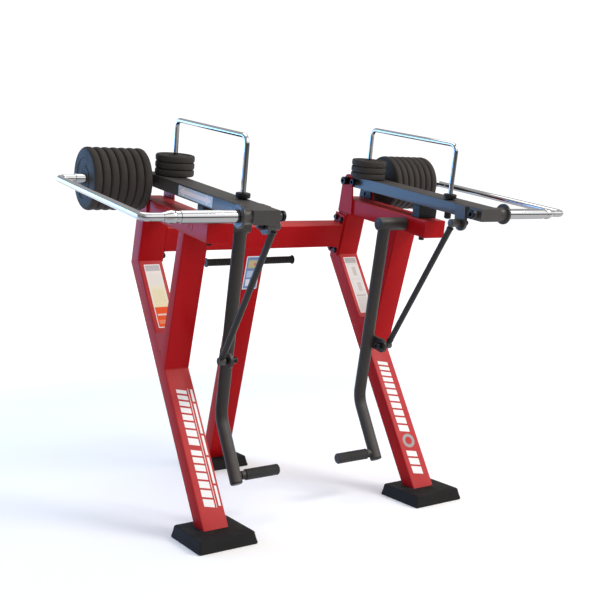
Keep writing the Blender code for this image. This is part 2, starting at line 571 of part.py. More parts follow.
    # -------------------------------------------------- chrome load frame
    sleeve = lathe("sl", [(0.605, 0.0), (0.605, 0.0064), (SLEEVE_X0, 0.0064), (SLEEVE_X0, SLEEVE_R), (SLEEVE_X1, SLEEVE_R),
                          (SLEEVE_X1, 0.0178), (SLEEVE_X1 + 0.016, 0.0178), (SLEEVE_X1 + 0.024, 0.0205),
                          (SLEEVE_X1 + 0.034, 0.0203), (STOP_X1 - 0.003, 0.0138), (STOP_X1, 0.0132), (STOP_X1, 0.0)],
                   of, EX * sx, 20)
    finish(sleeve, "load_sleeve_" + side, CHROME, apiv, smooth=False)
    pin = lathe("pin", [(0.605, 0.0), (0.605, 0.0064), (PIN_X0, 0.0064), (PIN_X0, PIN_SLEEVE_R), (PIN_X1, PIN_SLEEVE_R),
                        (PIN_X1, 0.0)], orr, EX * sx, 20)
    finish(pin, "plate_pin_" + side, CHROME, apiv, smooth=False)

    for o, x_in, hr, end in ((of, 0.3945, 0.0160, "front_"), (orr, 0.3990, 0.0145, "rear_")):
        bo = lathe("bo", [(x_in, 0.0), (x_in, hr - 0.0015), (x_in + 0.0015, hr), (ax0 - GAP, hr), (ax0 - GAP, BOLT_R),
                          (0.6030, BOLT_R), (0.6030, 0.0)], o, EX * sx, SEG_S)
        cut(bo, cyl("hex", o, EX * sx, x_in - 0.005, x_in + 0.006, 0.0065, 6))
        finish(bo, "sleeve_bolt_" + end + side, ZINC, apiv)

    ub = fillet([Vector((sx * (STOP_X1 + GAP), 0, 0)) + Vector(of), Vector((sx * UBAR_X, 0, 0)) + Vector(of),
                 Vector((sx * UBAR_X, 0, 0)) + Vector(orr), Vector((sx * (PIN_X1 + GAP), 0, 0)) + Vector(orr)], UBAR_BEND, 6)
    ubar = tube("ubar", ub, EN, UBAR_R, SEG_S)
    finish(ubar, "u_bar_" + side, CHROME, apiv, smooth=True)

    # ------------------------------------------------------------ rubber plates
    prof = []
    for k in range(BIG_N):
        x0 = BIG_X0 + k * BIG_T
        x1 = x0 + BIG_T - GAP
        prof += [(x0, 0.050), (x0, BIG_R - 0.010), (x0 + 0.006, BIG_R), (x1 - 0.006, BIG_R), (x1, BIG_R - 0.010)]
        if k < BIG_N - 1:
            prof += [(x1, 0.050)]
    prof[0] = (BIG_X0, PIN_SLEEVE_R + 0.0007)
    prof += [(x1, 0.0770), (x1 - 0.002, 0.0750), (x1, 0.0730), (x1, 0.0250), (x1 - 0.002, 0.0230),
             (x1 - 0.002, PIN_SLEEVE_R + 0.0007)]
    finish(lathe("big", prof, orr, EX * sx, SEG), "big_plates_" + side, RUBBER, apiv, smooth=False)

    prof = []
    base = arm_point(LOCK_S1, 0.0, sx * LOCK_X)
    for k in range(SMALL_N):
        h0 = GAP + k * SMALL_T
        h1 = h0 + SMALL_T - GAP
        prof += [(h0, 0.030), (h0, SMALL_R - 0.006), (h0 + 0.006, SMALL_R), (h1 - 0.006, SMALL_R), (h1, SMALL_R - 0.006), (h1, 0.030)]
    prof[0] = (prof[0][0], LOCK_R + 0.0010)
    prof[-1] = (prof[-1][0], LOCK_R + 0.0010)
    finish(lathe("small", prof, base, EN, 22), "small_plates_" + side, RUBBER, apiv, smooth=False)

    # -------------------------------------------------------------- lock handle
    lx2 = sx * LOCK_X
    lk = fillet([arm_point(LOCK_S0, -ARM_H - 0.026, lx2), arm_point(LOCK_S0, LOCK_H - LOCK_R, lx2),
                 arm_point(LOCK_S1, LOCK_H - LOCK_R, lx2), arm_point(LOCK_S1, -ARM_H + 0.002, lx2)], LOCK_BEND, 6)
    lock = tube("lock", lk, EX, LOCK_R, 12)
    finish(lock, "lock_handle_" + side, CHROME, apiv, smooth=True)

    kb = arm_point(LOCK_S0, 0.0, lx2)
    knob = lathe("knob", [(GAP, 0.0135), (0.0035, 0.0135), (0.0045, 0.0235), (0.0060, 0.0245), (0.0195, 0.0245),
                          (0.0210, 0.0230), (0.0210, 0.0092), (-ARM_H - 0.024, 0.0092), (-ARM_H - 0.024, 0.0125),
                          (-ARM_H - GAP, 0.0125), (-ARM_H - GAP, 0.0107), (GAP, 0.0107)], kb, EN, 18)
    finish(knob, "lock_knob_" + side, BASE, apiv)

# ------------------------------------------------------------------- centre
xb = XS - W / 2 - GAP - FLANGE_T
cross = prism("cross", [cross_pt(-CROSS_H / 2, -CROSS_D / 2), cross_pt(CROSS_H / 2, -CROSS_D / 2),
                        cross_pt(CROSS_H / 2, CROSS_D / 2), cross_pt(-CROSS_H / 2, CROSS_D / 2)],
              -(xb + WELD), xb + WELD)
bm = bmesh.new()
bm.from_mesh(cross.data)
longs = [e for e in bm.edges if abs(e.verts[0].co.x - e.verts[1].co.x) > 0.2]
bmesh.ops.bevel(bm, geom=longs, offset=CH, offset_type='OFFSET', segments=2, profile=0.5, affect='EDGES')
bm.to_mesh(cross.data)
bm.free()

for sx in (-1.0, 1.0):
    f = prism("f", [cross_pt(-FLANGE_H / 2, -FLANGE_D / 2), cross_pt(FLANGE_H / 2, -FLANGE_D / 2),
                    cross_pt(FLANGE_H / 2, FLANGE_D / 2), cross_pt(-FLANGE_H / 2, FLANGE_D / 2)],
              sx * xb, sx * (xb + FLANGE_T))
    for du in (-BOLT_U, BOLT_U):
        for dn in (-BOLT_N, BOLT_N):
            y, z = cross_pt(du, dn)
            cut(f, cyl("h", (0, y, z), EX * sx, xb - 0.01, xb + FLANGE_T + 0.01, BOLT_R + 0.0004, 10))
    add(cross, f)
finish(cross, "crossbeam", RED)

RT = math.tan(R)
top_f = cross_pt(-CROSS_H / 2 - GAP, -CROSS_D / 2)
top_r = (top_f[0] + CN.x * REAR_D, top_f[1] + CN.y * REAR_D)
zf = FOOT_H + GAP
REAR_POLY = [(top_f[0] + (top_f[1] - zf) * RT, zf), top_f, top_r, (top_r[0] + (top_r[1] - zf) * RT, zf)]
rear = prism("rear", REAR_POLY, -W / 2, W / 2, CH)
cut(rear, cyl("h", (0, HANDLE_Y, HANDLE_Z), EX, -0.07, 0.07, HANDLE_R + 0.0004, SEG_S))
finish(rear, "rear_leg", RED)

bm = bmesh.new()
rows = []
for z, h in [(0.0, FOOT_B - 0.002), (0.003, FOOT_B), (0.008, FOOT_B), (FOOT_H - 0.003, FOOT_T + 0.0012), (FOOT_H, FOOT_T - 0.002)]:
    c = 0.006
    loop = [(-h + c, -h), (h - c, -h), (h, -h + c), (h, h - c), (h - c, h), (-h + c, h), (-h, h - c), (-h, -h + c)]
    rows.append([bm.verts.new((p[0], p[1] + FOOT_REAR_Y - Y_MID, z)) for p in loop])
for i in range(len(rows) - 1):
    for k in range(8):
        bm.faces.new((rows[i][k], rows[i][(k + 1) % 8], rows[i + 1][(k + 1) % 8], rows[i + 1][k]))
bm.faces.new(rows[0])
bm.faces.new(rows[-1])
finish(mesh_object("foot", bm), "foot_rear", BASE)

bar = cyl("bar", (0, HANDLE_Y, HANDLE_Z), EX, -0.2043, 0.2043, HANDLE_R, SEG_S)
finish(bar, "handle_bar", BLACK, smooth=False)
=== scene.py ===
import math
import bpy
import bmesh
from mathutils import Vector, Matrix, Euler, noise


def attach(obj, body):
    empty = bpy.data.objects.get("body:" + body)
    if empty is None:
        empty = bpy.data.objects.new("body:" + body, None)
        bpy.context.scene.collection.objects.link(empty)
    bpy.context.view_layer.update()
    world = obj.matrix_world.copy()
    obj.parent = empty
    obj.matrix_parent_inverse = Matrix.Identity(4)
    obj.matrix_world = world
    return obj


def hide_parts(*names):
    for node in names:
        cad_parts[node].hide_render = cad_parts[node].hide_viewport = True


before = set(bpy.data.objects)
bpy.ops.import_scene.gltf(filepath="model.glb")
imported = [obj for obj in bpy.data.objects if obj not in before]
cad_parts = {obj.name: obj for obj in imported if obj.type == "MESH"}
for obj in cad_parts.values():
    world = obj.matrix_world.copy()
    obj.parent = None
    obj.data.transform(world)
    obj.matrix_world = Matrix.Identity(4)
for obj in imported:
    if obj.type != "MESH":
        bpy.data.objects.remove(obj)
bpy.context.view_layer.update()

# ------------------------------------------------------------------ dimensions
# Metres, in the same layout as the CAD: X across, Y to the rear, Z up.
Y_MID = 0.315
XS, W, D, DF, CH = 0.472, 0.100, 0.068, 0.048, 0.0055
LEG_TAN = math.tan(math.radians(30.0))
POST_TAN = math.tan(math.radians(19.6))
REAR_DEG, BEAM_DEG = 19.7, 9.9
FOOT_B, FOOT_T, FOOT_H, FOOT_REAR_Y = 0.115, 0.106, 0.045, 0.903
LEG_Y0, LEG_Z0, KNEE_Z, FORK_Z = -0.018, 0.045, 0.9652, 0.573
BEAM_Z0, BEAM_Y_FRONT, BEAM_Y_REAR = 1.062, -0.060, 0.512
CROSS_Y, CROSS_Z, CROSS_H, CROSS_D = 0.524, 1.056, 0.100, 0.068
FLANGE_H, FLANGE_D, FLANGE_T = 0.182, 0.066, 0.008
BOLT_U, BOLT_N = 0.0708, 0.019
REAR_D = 0.070
HANDLE_Y, HANDLE_Z, HANDLE_R = 0.557, 0.9465, 0.0125
GRIP_R, GRIP_END = 0.0147, 0.209
PLATE_T = 0.008
PAD_X0, PAD_X1 = 0.5147, 0.5207
PAD_SN = [(0.4275, 0.0003), (0.5105, 0.0003), (0.5080, 0.0280), (0.5066, 0.0500), (0.4360, 0.0500)]
BUMP_Y0, BUMP_Y1, BUMP_HW = -0.0099, 0.0350, 0.0435
WEB_ZA, WEB_ZB = 0.7030, 0.7113
PLUG_Y, PLUG_Z = 0.3240, 0.6358
PIV_Y, PIV_Z, PIV_R = 0.435, 1.2838, 0.008
ARM_Z0, ARM_H, ARM_W, ARM_Y_FRONT = 1.2318, 0.047, 0.0974, -0.381
LEV_Y, LEV_Z, LEV_X, LEV_R = 0.058, 1.1065, 0.3225, 0.024
HUB_R, HUB_X0, HUB_X1, SHAFT_R = 0.0255, 0.2905, 0.4205, 0.0155
BEND_Y, BEND_Z, BEND_RAD = 0.2231, 0.3894, 0.11
LEV_END_Y, LEV_END_Z = 0.1045, 0.1575
ROLL_Y, ROLL_Z, ROLL_R, ROLL_X0, ROLL_X1 = 0.1150, 0.1797, 0.0209, 0.137, 0.2802
LUG_Y, LUG_Z, LUG_X0, LUG_X1, LUG_R = 0.1070, 0.6172, 0.343, 0.355, 0.028
TAB_Y, TAB_Z, TAB_X0, TAB_X1, TAB_R = -0.274, 1.1145, 0.4125, 0.4245, 0.0285
ROD_X, ROD_R, ROD_NECK_R, ROD_EYE_R = 0.3805, 0.0115, 0.0070, 0.0150
ROD_NECK_L, COLLAR_L, COLLAR_R = 0.0210, 0.0090, 0.0127
SLEEVE_Y, PIN_Y = -0.350, 0.3885
SLEEVE_R, PIN_SLEEVE_R, UBAR_R, UBAR_X, UBAR_BEND = 0.0197, 0.0165, 0.0131, 0.873, 0.024
SLEEVE_X0, SLEEVE_X1, STOP_X1, PIN_X0, PIN_X1 = 0.5613, 0.757, 0.813, 0.5565, 0.810
BIG_R, BIG_T, BIG_X0, BIG_N = 0.1136, 0.0315, 0.5583, 7
SMALL_R, SMALL_T, SMALL_N = 0.0725, 0.0258, 3
LOCK_X, LOCK_R, LOCK_S0, LOCK_S1, LOCK_H, LOCK_BEND = 0.447, 0.0088, -0.1810, 0.3450, 0.2133, 0.028

G = math.radians(BEAM_DEG)
ES = Vector((0.0, math.cos(G), math.sin(G)))
EN = Vector((0.0, -math.sin(G), math.cos(G)))
EX = Vector((1.0, 0.0, 0.0))
UP = Vector((0.0, 0.0, 1.0))
SHIFT = Vector((0.0, -Y_MID, 0.0))


# ----------------------------------------------------------------- node helpers
class Nodes:
    """Small helper that builds a material's node tree."""

    def __init__(self, name):
        self.mat = bpy.data.materials.new(name)
        self.mat.use_nodes = True
        self.t = self.mat.node_tree
        self.t.nodes.clear()
        self.out = self.t.nodes.new("ShaderNodeOutputMaterial")
        self.b = self.t.nodes.new("ShaderNodeBsdfPrincipled")
        self.t.links.new(self.b.outputs["BSDF"], self.out.inputs["Surface"])

    def put(self, socket, value):
        if isinstance(value, bpy.types.NodeSocket):
            self.t.links.new(value, socket)
        elif hasattr(socket.default_value, "__len__"):
            v = list(value) if hasattr(value, "__len__") else [value] * 3
            if len(socket.default_value) == 4 and len(v) == 3:
                v.append(1.0)
            socket.default_value = v
        else:
            socket.default_value = value

    def coords(self, which="Object"):
        n = self.t.nodes.new("ShaderNodeTexCoord")
        return n.outputs[which]

    def scaled(self, vec, s):
        n = self.t.nodes.new("ShaderNodeMapping")
        self.put(n.inputs["Vector"], vec)
        n.inputs["Scale"].default_value = s
        return n.outputs["Vector"]

    def noise(self, vec, scale, detail=3.0, rough=0.55):
        n = self.t.nodes.new("ShaderNodeTexNoise")
        self.put(n.inputs["Vector"], vec)
        n.inputs["Scale"].default_value = scale
        n.inputs["Detail"].default_value = detail
        n.inputs["Roughness"].default_value = rough
        return n.outputs["Fac"]

    def voronoi(self, vec, scale, feature="F1"):
        n = self.t.nodes.new("ShaderNodeTexVoronoi")
        n.feature = feature
        self.put(n.inputs["Vector"], vec)
        n.inputs["Scale"].default_value = scale
        return n.outputs["Distance"]

    def math(self, op, a, b=0.0, clamp=False):
        n = self.t.nodes.new("ShaderNodeMath")
        n.operation = op
        n.use_clamp = clamp
        self.put(n.inputs[0], a)
        self.put(n.inputs[1], b)
        return n.outputs[0]

    def remap(self, v, a, b, c, d):
        n = self.t.nodes.new("ShaderNodeMapRange")
        n.interpolation_type = 'SMOOTHSTEP'
        self.put(n.inputs["Value"], v)
        for k, x in (("From Min", a), ("From Max", b), ("To Min", c), ("To Max", d)):
            n.inputs[k].default_value = x
        return n.outputs["Result"]

    def mix(self, f, a, b):
        n = self.t.nodes.new("ShaderNodeMix")
        n.data_type = 'RGBA'
        self.put(n.inputs["Factor"], f)
        self.put(n.inputs[6], a)
        self.put(n.inputs[7], b)
        return n.outputs[2]

    def edge(self, radius, lo=0.02, hi=0.22):
        """1 along the edges of the piece, 0 on its flats."""
        bv = self.t.nodes.new("ShaderNodeBevel")
        bv.samples = 4
        bv.inputs["Radius"].default_value = radius
        ge = self.t.nodes.new("ShaderNodeNewGeometry")
        dt = self.t.nodes.new("ShaderNodeVectorMath")
        dt.operation = 'DOT_PRODUCT'
        self.t.links.new(bv.outputs["Normal"], dt.inputs[0])
        self.t.links.new(ge.outputs["True Normal"], dt.inputs[1])
        inv = self.math('SUBTRACT', 1.0, dt.outputs["Value"])
        return self.remap(inv, lo, hi, 0.0, 1.0)

    def facing_up(self):
        ge = self.t.nodes.new("ShaderNodeNewGeometry")
        sp = self.t.nodes.new("ShaderNodeSeparateXYZ")
        self.t.links.new(ge.outputs["Normal"], sp.inputs[0])
        return self.remap(sp.outputs["Z"], 0.55, 0.98, 0.0, 1.0)

    def bump(self, height, strength, distance, normal=None):
        n = self.t.nodes.new("ShaderNodeBump")
        n.inputs["Strength"].default_value = strength
        n.inputs["Distance"].default_value = distance
        self.put(n.inputs["Height"], height)
        if normal is not None:
            self.put(n.inputs["Normal"], normal)
        return n.outputs["Normal"]

    def set(self, **kw):
        names = {"color": "Base Color", "rough": "Roughness", "metal": "Metallic", "normal": "Normal",
                 "spec": "Specular IOR Level", "coat": "Coat Weight", "coat_rough": "Coat Roughness",
                 "sheen": "Sheen Weight", "sheen_rough": "Sheen Roughness", "aniso": "Anisotropic"}
        for k, v in kw.items():
            self.put(self.b.inputs[names[k]], v)
        return self.mat


def powder(name, base, low, edge_col, rough, spec, speck, dust, grain=0.00010, edge_amount=0.55, coat=0.0, painted_top_light=None, matte=0.0):
    """Powder-coated steel: fine orange peel, faint mottling, edges lighter from thin paint and a painted edge
    highlight, a trace of dust, and painted top light on upward faces when painted_top_light is given.
    """
    n = Nodes(name)
    c = n.coords()
    broad = n.noise(c, 5.0, 4.0)
    mott = n.noise(c, 210.0, 3.0, 0.6)
    fine = n.noise(c, 900.0, 2.0, 0.5)
    peel = n.voronoi(c, 620.0)
    col = n.mix(n.remap(broad, 0.35, 0.68, 0.0, 1.0), base, low)
    col = n.mix(n.math('MULTIPLY', n.remap(mott, 0.40, 0.72, 0.0, 1.0), speck), col, edge_col)
    # edges lighter: partly thin paint wear, partly a painted edge highlight
    e = n.edge(0.0028)
    edge_wear_and_highlight = n.math('MULTIPLY', e, n.remap(n.noise(c, 60.0, 3.0), 0.30, 0.70, 0.25, 1.0))
    col = n.mix(n.math('MULTIPLY', edge_wear_and_highlight, edge_amount), col, edge_col)
    # painted light: faces turned upward are mixed toward a lighter colour, standing in for light from above
    if painted_top_light is not None:
        ge = n.t.nodes.new("ShaderNodeNewGeometry")
        sp = n.t.nodes.new("ShaderNodeSeparateXYZ")
        n.t.links.new(ge.outputs["Normal"], sp.inputs[0])
        sky = n.remap(sp.outputs["Z"], 0.05, 0.60, 0.0, 1.0)
        col = n.mix(n.math('MULTIPLY', sky, n.remap(n.noise(c, 9.0, 4.0, 0.6), 0.30, 0.72, 0.75, 1.0)), col, painted_top_light)
    up = n.math('MULTIPLY', n.facing_up(), n.remap(n.noise(c, 22.0, 5.0, 0.65), 0.42, 0.78, 0.0, dust))
    col = n.mix(up, col, (0.45, 0.42, 0.38))
    r = n.math('ADD', n.remap(mott, 0.3, 0.7, rough - 0.035, rough + 0.045), n.math('MULTIPLY', up, 0.5))
    r = n.math('SUBTRACT', r, n.math('MULTIPLY', edge_wear_and_highlight, 0.06))
    if matte > 0.0:
        r = n.math('ADD', r, n.math('MULTIPLY', n.facing_up(), matte))
    h = n.math('ADD', n.math('MULTIPLY', fine, 0.6), n.math('MULTIPLY', peel, 0.5))
    nm = n.bump(h, 0.35, grain)
    nm = n.bump(broad, 0.10, 0.0012, nm)
    if coat > 0.0:
        n.set(coat=coat, coat_rough=0.20)
    return n.set(color=col, rough=r, normal=nm, spec=spec)


def rubber(name, base, pale, rough, spec, grain, scale, pebble=0.5):
    """Moulded rubber or plastic: pebbled skin, cloudy tone, rubbed edges."""
    n = Nodes(name)
    c = n.coords()
    cloud = n.noise(c, 14.0, 5.0, 0.6)
    peb = n.voronoi(c, scale)
    fine = n.noise(c, scale * 2.2, 2.0)
    col = n.mix(n.remap(cloud, 0.38, 0.70, 0.0, 0.55), base, pale)
    e = n.math('MULTIPLY', n.edge(0.0030), n.remap(n.noise(c, 45.0, 4.0), 0.35, 0.7, 0.15, 0.8))
    col = n.mix(n.math('MULTIPLY', e, 0.5), col, pale)
    up = n.math('MULTIPLY', n.facing_up(), n.remap(n.noise(c, 30.0, 5.0, 0.7), 0.45, 0.8, 0.0, 0.05))
    col = n.mix(up, col, (0.35, 0.33, 0.30))
    r = n.remap(cloud, 0.3, 0.7, rough - 0.05, rough + 0.06)
    r = n.math('SUBTRACT', r, n.math('MULTIPLY', e, 0.12))
    h = n.math('ADD', n.math('MULTIPLY', peb, pebble), n.math('MULTIPLY', fine, 0.4))
    nm = n.bump(h, 0.5, grain)
    return n.set(color=col, rough=r, normal=nm, spec=spec)


def metal(name, base, tint, rough, rough_hi, along=(1.0, 1.0, 1.0), scratch=0.00002, aniso=0.0, scale=180.0, painted_reflections=False):
    """Bare, plated or blackened metal with hairline marks and cloudy polish; with painted_reflections its colour also
    carries painted reflections that follow the surface direction.
    """
    n = Nodes(name)
    c = n.coords()
    v = n.scaled(c, along)
    hair = n.noise(v, scale, 4.0, 0.7)
    cloud = n.noise(c, 18.0, 4.0, 0.6)
    smear = n.noise(n.scaled(c, (2.0, 9.0, 9.0)), 6.0, 3.0)
    col = n.mix(n.remap(cloud, 0.35, 0.7, 0.0, 0.7), base, tint)
    if painted_reflections:
        # painted reflections: brighter on the upper side, a deep tone along the front of each bar and a softer one
        # below it, standing in for the reflected surroundings
        ge = n.t.nodes.new("ShaderNodeNewGeometry")
        sp = n.t.nodes.new("ShaderNodeSeparateXYZ")
        n.t.links.new(ge.outputs["Normal"], sp.inputs[0])
        x, y, z = sp.outputs["X"], sp.outputs["Y"], sp.outputs["Z"]
        col = n.mix(n.remap(z, 0.10, 0.30, 0.0, 1.0), col, tuple(min(0.9, v * 1.27) for v in base))
        ahead_ = n.remap(y, -0.72, -0.35, 1.0, 0.0)
        col = n.mix(n.math('MULTIPLY', n.remap(z, -0.26, -0.14, 1.0, 0.0), ahead_), col, tuple(v * 0.56 for v in base))
        painted_dark_band = n.math('MULTIPLY', n.remap(z, -0.22, -0.13, 0.0, 1.0), n.remap(z, 0.00, 0.08, 1.0, 0.0))
        col = n.mix(n.math('MULTIPLY', painted_dark_band, ahead_), col, tuple(v * 0.15 for v in base))
        side_ = n.math('MULTIPLY', n.remap(x, -0.60, -0.30, 1.0, 0.0), n.math('SUBTRACT', 1.0, ahead_))
        col = n.mix(n.math('MULTIPLY', n.remap(z, 0.15, 0.40, 1.0, 0.0), side_), col, tuple(v * 0.66 for v in base))
        col = n.mix(n.math('MULTIPLY', n.remap(z, -0.80, -0.56, 1.0, 0.0), side_), col, tuple(v * 0.14 for v in base))
        col = n.mix(n.remap(z, -0.94, -0.74, 1.0, 0.0), col, tuple(v * 0.16 for v in base))
    r = n.math('ADD', n.remap(cloud, 0.3, 0.75, rough, (rough + rough_hi) / 2),
               n.remap(n.math('MULTIPLY', hair, smear), 0.22, 0.5, 0.0, (rough_hi - rough) / 2))
    nm = n.bump(hair, 0.25, scratch)
    return n.set(color=col, rough=r, normal=nm, metal=1.0, aniso=aniso)


def panel(name, base, blocks, rough=0.38, spec=0.4):
    """Printed panel: plain blocks laid out in the piece's own 0..1 coordinates."""
    n = Nodes(name)
    uv = n.coords("UV")
    sp = n.t.nodes.new("ShaderNodeSeparateXYZ")
    n.t.links.new(uv, sp.inputs[0])
    u, v = sp.outputs["X"], sp.outputs["Y"]
    c = n.coords()
    col = base
    for kind, box, colour in blocks:
        u0, u1, v0, v1 = box
        m = n.math('MULTIPLY', n.math('GREATER_THAN', u, u0), n.math('LESS_THAN', u, u1))
        m = n.math('MULTIPLY', m, n.math('MULTIPLY', n.math('GREATER_THAN', v, v0), n.math('LESS_THAN', v, v1)))
        if kind == "dot":
            uc, vc, ur, vr = (u0 + u1) / 2, (v0 + v1) / 2, (u1 - u0) / 2, (v1 - v0) / 2
            du = n.math('POWER', n.math('DIVIDE', n.math('SUBTRACT', u, uc), ur), 2.0)
            dv = n.math('POWER', n.math('DIVIDE', n.math('SUBTRACT', v, vc), vr), 2.0)
            m = n.math('LESS_THAN', n.math('ADD', du, dv), 1.0)
        elif kind == "fade":
            m = n.math('MULTIPLY', m, n.remap(v, v0, v1, 0.0, 1.0))
        elif kind == "arrow":
            # a plain double-headed arrow along v
            uc = (u0 + u1) / 2
            au = n.math('ABSOLUTE', n.math('SUBTRACT', u, uc))
            vm = n.math('ABSOLUTE', n.math('SUBTRACT', v, (v0 + v1) / 2))
            half = (v1 - v0) / 2
            head = 0.144
            shaft = n.math('MULTIPLY', n.math('LESS_THAN', au, (u1 - u0) * 0.22), n.math('LESS_THAN', vm, half - head))
            slope = n.math('MULTIPLY', n.math('SUBTRACT', half, vm), (u1 - u0) / 2 / head)
            tip = n.math('MULTIPLY', n.math('LESS_THAN', au, slope), n.math('GREATER_THAN', vm, half - head))
            m = n.math('MAXIMUM', shaft, tip)
        col = n.mix(m, col, colour)
    tone = n.noise(c, 90.0, 4.0)
    col = n.mix(n.remap(tone, 0.45, 0.8, 0.0, 0.05), col, (0.62, 0.60, 0.58))
    nm = n.bump(n.noise(c, 700.0, 2.0), 0.2, 0.00005)
    return n.set(color=col, rough=n.remap(tone, 0.3, 0.7, rough - 0.05, rough + 0.07), normal=nm, spec=spec)


# the red coat carries painted top light: lighter on faces turned upward
RED = powder("red_powder_coat", (0.366, 0.0042, 0.0066), (0.335, 0.0037, 0.0058), (0.50, 0.034, 0.034),
             0.40, 0.05, 0.06, 0.03, coat=0.05, painted_top_light=(0.50, 0.060, 0.060))
BLACK = powder("black_powder_coat", (0.042, 0.037, 0.034), (0.036, 0.032, 0.030), (0.085, 0.078, 0.072),
               0.36, 0.36, 0.18, 0.02, 0.00014, 0.40, matte=0.20)
# the lever black carries painted top light as well: lighter on faces turned upward
LEVER_BLACK = powder("lever_black", (0.036, 0.0325, 0.030), (0.031, 0.028, 0.026), (0.070, 0.064, 0.060),
                     0.42, 0.16, 0.16, 0.02, 0.00012, 0.40, painted_top_light=(0.105, 0.096, 0.090))
ROD_BLACK = powder("rod_black", (0.0175, 0.0165, 0.0165), (0.0145, 0.0140, 0.0140), (0.045, 0.042, 0.040),
                   0.34, 0.22, 0.15, 0.02, 0.00010, 0.40)
RUBBER = rubber("plate_rubber", (0.039, 0.034, 0.031), (0.049, 0.044, 0.040), 0.58, 0.07, 0.00012, 520.0)
GRIP = rubber("grip_rubber", (0.026, 0.025, 0.025), (0.040, 0.038, 0.036), 0.55, 0.30, 0.00015, 640.0)
HOLD = rubber("handle_rubber", (0.0105, 0.0100, 0.0100), (0.0180, 0.0172, 0.0165), 0.50, 0.20, 0.00012, 640.0)
FOOT = rubber("foot_rubber", (0.016, 0.0155, 0.0155), (0.024, 0.023, 0.0225), 0.66, 0.07, 0.00016, 430.0, 0.7)
NYLON = rubber("black_nylon", (0.020, 0.020, 0.020), (0.032, 0.031, 0.031), 0.42, 0.40, 0.00008, 700.0)
PADS = rubber("dense_pad", (0.0060, 0.0060, 0.0064), (0.0105, 0.0105, 0.0115), 0.46, 0.22, 0.00008, 700.0)
# chrome carries painted reflections: its colour darkens and brightens with surface direction
CHROME = metal("chrome_plate", (0.62, 0.62, 0.625), (0.57, 0.57, 0.58), 0.045, 0.12, (1.0, 6.0, 6.0), 0.000012, painted_reflections=True)
OXIDE = metal("black_oxide_steel", (0.017, 0.017, 0.018), (0.030, 0.029, 0.030), 0.30, 0.46, (1.0, 1.0, 1.0), 0.00003, 0.0, 420.0)
STEEL = metal("turned_steel", (0.46, 0.455, 0.45), (0.38, 0.375, 0.37), 0.24, 0.40, (1.0, 14.0, 14.0), 0.00003, 0.0, 120.0)
BRONZE = metal("bush_bronze", (0.45, 0.28, 0.12), (0.38, 0.23, 0.10), 0.28, 0.42)
WHITE = panel("white_vinyl", (0.80, 0.79, 0.78), [], 0.40)
GREY = panel("grey_vinyl", (0.30, 0.29, 0.28), [], 0.40)


# ----------------------------------------------------------------- mesh helpers
def link(name, bm, mat, body, reps=(), angle=38.0, bevel=0.0, seg=2, limit=35.0, uv=None):
    bmesh.ops.remove_doubles(bm, verts=bm.verts, dist=2e-6)
    bmesh.ops.recalc_face_normals(bm, faces=bm.faces)
    me = bpy.data.meshes.new(name)
    bm.to_mesh(me)
    bm.free()
    me.transform(Matrix.Translation(SHIFT))
    ob = bpy.data.objects.new(name, me)
    bpy.context.scene.collection.objects.link(ob)
    me.materials.append(mat)
    for p in me.polygons:
        p.use_smooth = True
    if bevel > 0.0:
        m = ob.modifiers.new("edges", 'BEVEL')
        m.width = bevel
        m.segments = seg
        m.limit_method = 'ANGLE'
        m.angle_limit = math.radians(limit)
        m.harden_normals = True
        m.use_clamp_overlap = True
    else:
        me.set_sharp_from_angle(angle=math.radians(angle))
    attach(ob, body)
    if reps:
        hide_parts(*reps)
    return ob


def merge(*parts):
    """Several bmeshes in one."""
    out = bmesh.new()
    for b in parts:
        me = bpy.data.meshes.new("tmp")
        b.to_mesh(me)
        b.free()
        out.from_mesh(me)
        bpy.data.meshes.remove(me)
    return out


def prism(poly, x0, x1, round_r=0.0, seg=4, longer=0.09):
    """Outline in the YZ plane run across X. Its long corners are rounded like rolled tube."""
    bm = bmesh.new()
    a = [bm.verts.new((x0, p[0], p[1])) for p in poly]
    b = [bm.verts.new((x1, p[0], p[1])) for p in poly]
    k = len(poly)
    bm.faces.new(a)
    bm.faces.new(list(reversed(b)))
    for i in range(k):
        j = (i + 1) % k
        bm.faces.new((a[i], b[i], b[j], a[j]))
    bmesh.ops.recalc_face_normals(bm, faces=bm.faces)
    if round_r > 0.0:
        edges = [e for e in bm.edges
                 if abs(e.verts[1].co.x - e.verts[0].co.x) < 1e-7 and (e.verts[1].co - e.verts[0].co).length > longer]
        bmesh.ops.bevel(bm, geom=edges, offset=round_r, offset_type='OFFSET', segments=seg, profile=0.5, affect='EDGES')
    return bm


def lathe(prof, origin, axis, n=64, turn=0.0):
    """Profile of (along, radius[, 6]) turned about an axis. A 6 makes that ring hexagonal."""
    o = Vector(origin)
    a = Vector(axis).normalized()
    ref = UP if abs(a.z) < 0.9 else EX
    u = (ref - a * ref.dot(a)).normalized()
    v = a.cross(u)
    bm = bmesh.new()
    rings = []
    for item in prof:
        h, r = item[0], item[1]
        hexed = len(item) > 2
        if r < 1e-7:
            rings.append([bm.verts.new(o + a * h)])
            continue
        row = []
        for k in range(n):
            t = turn + 2 * math.pi * k / n
            rr = r
            if hexed:
                m = (2 * math.pi * k / n) % (math.pi / 3) - math.pi / 6
                rr = r / math.cos(m)
            row.append(bm.verts.new(o + a * h + (u * math.cos(t) + v * math.sin(t)) * rr))
        rings.append(row)
    m = len(rings)
    solid = len(rings[0]) == 1 and len(rings[-1]) == 1
    for i in range(m if not solid else m - 1):
        p, q = rings[i], rings[(i + 1) % m]
        for k in range(n):
            k2 = (k + 1) % n
            if len(p) == 1 and len(q) == 1:
                continue
            if len(p) == 1:
                bm.faces.new((p[0], q[k], q[k2]))
            elif len(q) == 1:
                bm.faces.new((p[k], q[0], p[k2]))
            else:
                bm.faces.new((p[k], q[k], q[k2], p[k2]))
    return bm


